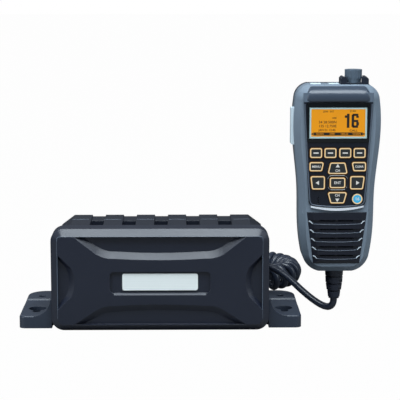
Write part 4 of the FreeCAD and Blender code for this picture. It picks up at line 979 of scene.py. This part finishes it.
# Area lamps: name, place, target, width, height, power and colour, in metres and watts
LAMPS = (
    ("top_light", (0.05, -0.42, 1.05), (0.05, 0.0, 0.05), 1.1, 0.62, 20.0, (0.84, 0.93, 1.0)),
    ("left_light", (-1.1, -0.7, 0.5), (0.0, 0.0, 0.08), 0.5, 0.9, 6.5, (0.86, 0.94, 1.0)),
    ("right_light", (1.2, -0.5, 0.6), (0.1, 0.0, 0.1), 0.4, 0.9, 4.5, (0.86, 0.94, 1.0)),
    ("back_light", (0.1, 1.0, 0.9), (0.05, 0.05, 0.08), 1.2, 0.4, 1.2, (0.86, 0.94, 1.0)),
    ("rear_fill", (-0.7, 1.0, 1.1), (0.0, 0.05, 0.06), 0.5, 0.3, 2.0, (0.9, 0.95, 1.0)),
)
WORLD_COLOUR = (0.86, 0.92, 1.0, 1)
WORLD_STRENGTH = 0.1


def paper():
    """A grey floor for the light, which the camera sees as nearly white."""
    material, tree, shader = new_material("floor_paper")
    link = tree.links.new
    shader.inputs["Base Color"].default_value = (0.2, 0.2, 0.2, 1)
    shader.inputs["Roughness"].default_value = 0.9
    shader.inputs["Specular IOR Level"].default_value = 0.0
    path = tree.nodes.new("ShaderNodeLightPath")
    glow = tree.nodes.new("ShaderNodeEmission")
    glow.inputs["Color"].default_value = WHITE
    mix = tree.nodes.new("ShaderNodeMixShader")
    part = tree.nodes.new("ShaderNodeMath")
    part.operation = "MULTIPLY"
    part.inputs[1].default_value = FLOOR_GLOW
    link(path.outputs["Is Camera Ray"], part.inputs[0])
    link(part.outputs[0], mix.inputs[0])
    link(shader.outputs[0], mix.inputs[1])
    link(glow.outputs[0], mix.inputs[2])
    link(mix.outputs[0], tree.nodes["Material Output"].inputs["Surface"])
    return material


def make_floor():
    mesh = bpy.data.meshes.new("floor")
    size = FLOOR_HALF
    corners = [(-size, -size, 0), (size, -size, 0), (size, size, 0), (-size, size, 0)]
    mesh.from_pydata(corners, [], [(0, 1, 2, 3)])
    floor = bpy.data.objects.new("floor", mesh)
    floor.location = (0, 0, -FLOOR_DROP)
    show(floor)
    mesh.materials.append(paper())


def add_lamp(name, place, target, width, height, power, colour):
    data = bpy.data.lights.new(name, "AREA")
    data.shape = "RECTANGLE"
    data.size = width
    data.size_y = height
    data.energy = power
    data.color = colour
    lamp = bpy.data.objects.new(name, data)
    lamp.location = place
    way = Vector(target) - Vector(place)
    lamp.rotation_euler = way.to_track_quat("-Z", "Y").to_euler()
    show(lamp)


def make_world():
    """A faint even light, which the camera sees as white."""
    world = bpy.data.worlds.new("world")
    bpy.context.scene.world = world
    world.use_nodes = True
    tree = world.node_tree
    link = tree.links.new
    back = tree.nodes["Background"]
    back.inputs["Color"].default_value = WORLD_COLOUR
    back.inputs["Strength"].default_value = WORLD_STRENGTH
    white = tree.nodes.new("ShaderNodeBackground")
    white.inputs["Color"].default_value = WHITE
    path = tree.nodes.new("ShaderNodeLightPath")
    mix = tree.nodes.new("ShaderNodeMixShader")
    link(path.outputs["Is Camera Ray"], mix.inputs[0])
    link(back.outputs[0], mix.inputs[1])
    link(white.outputs[0], mix.inputs[2])
    link(mix.outputs[0], tree.nodes["World Output"].inputs["Surface"])


def main():
    make_camera()
    materials = make_materials()
    paint_light_on_top(materials["key_panel"], BROW_LOW, BROW_PAINTED_LIGHT)
    dress_nodes(materials)
    make_cord(materials)
    make_keys(materials)
    make_screen(materials)
    make_panel_trim(materials)
    make_louvre_highlights(materials)
    make_box_highlight_lines(materials)
    make_knob_ribs(materials)
    make_relief_slot_shades(materials)
    make_floor()
    for lamp in LAMPS:
        add_lamp(*lamp)
    make_world()
    bpy.context.scene.view_settings.view_transform = "Standard"


main()
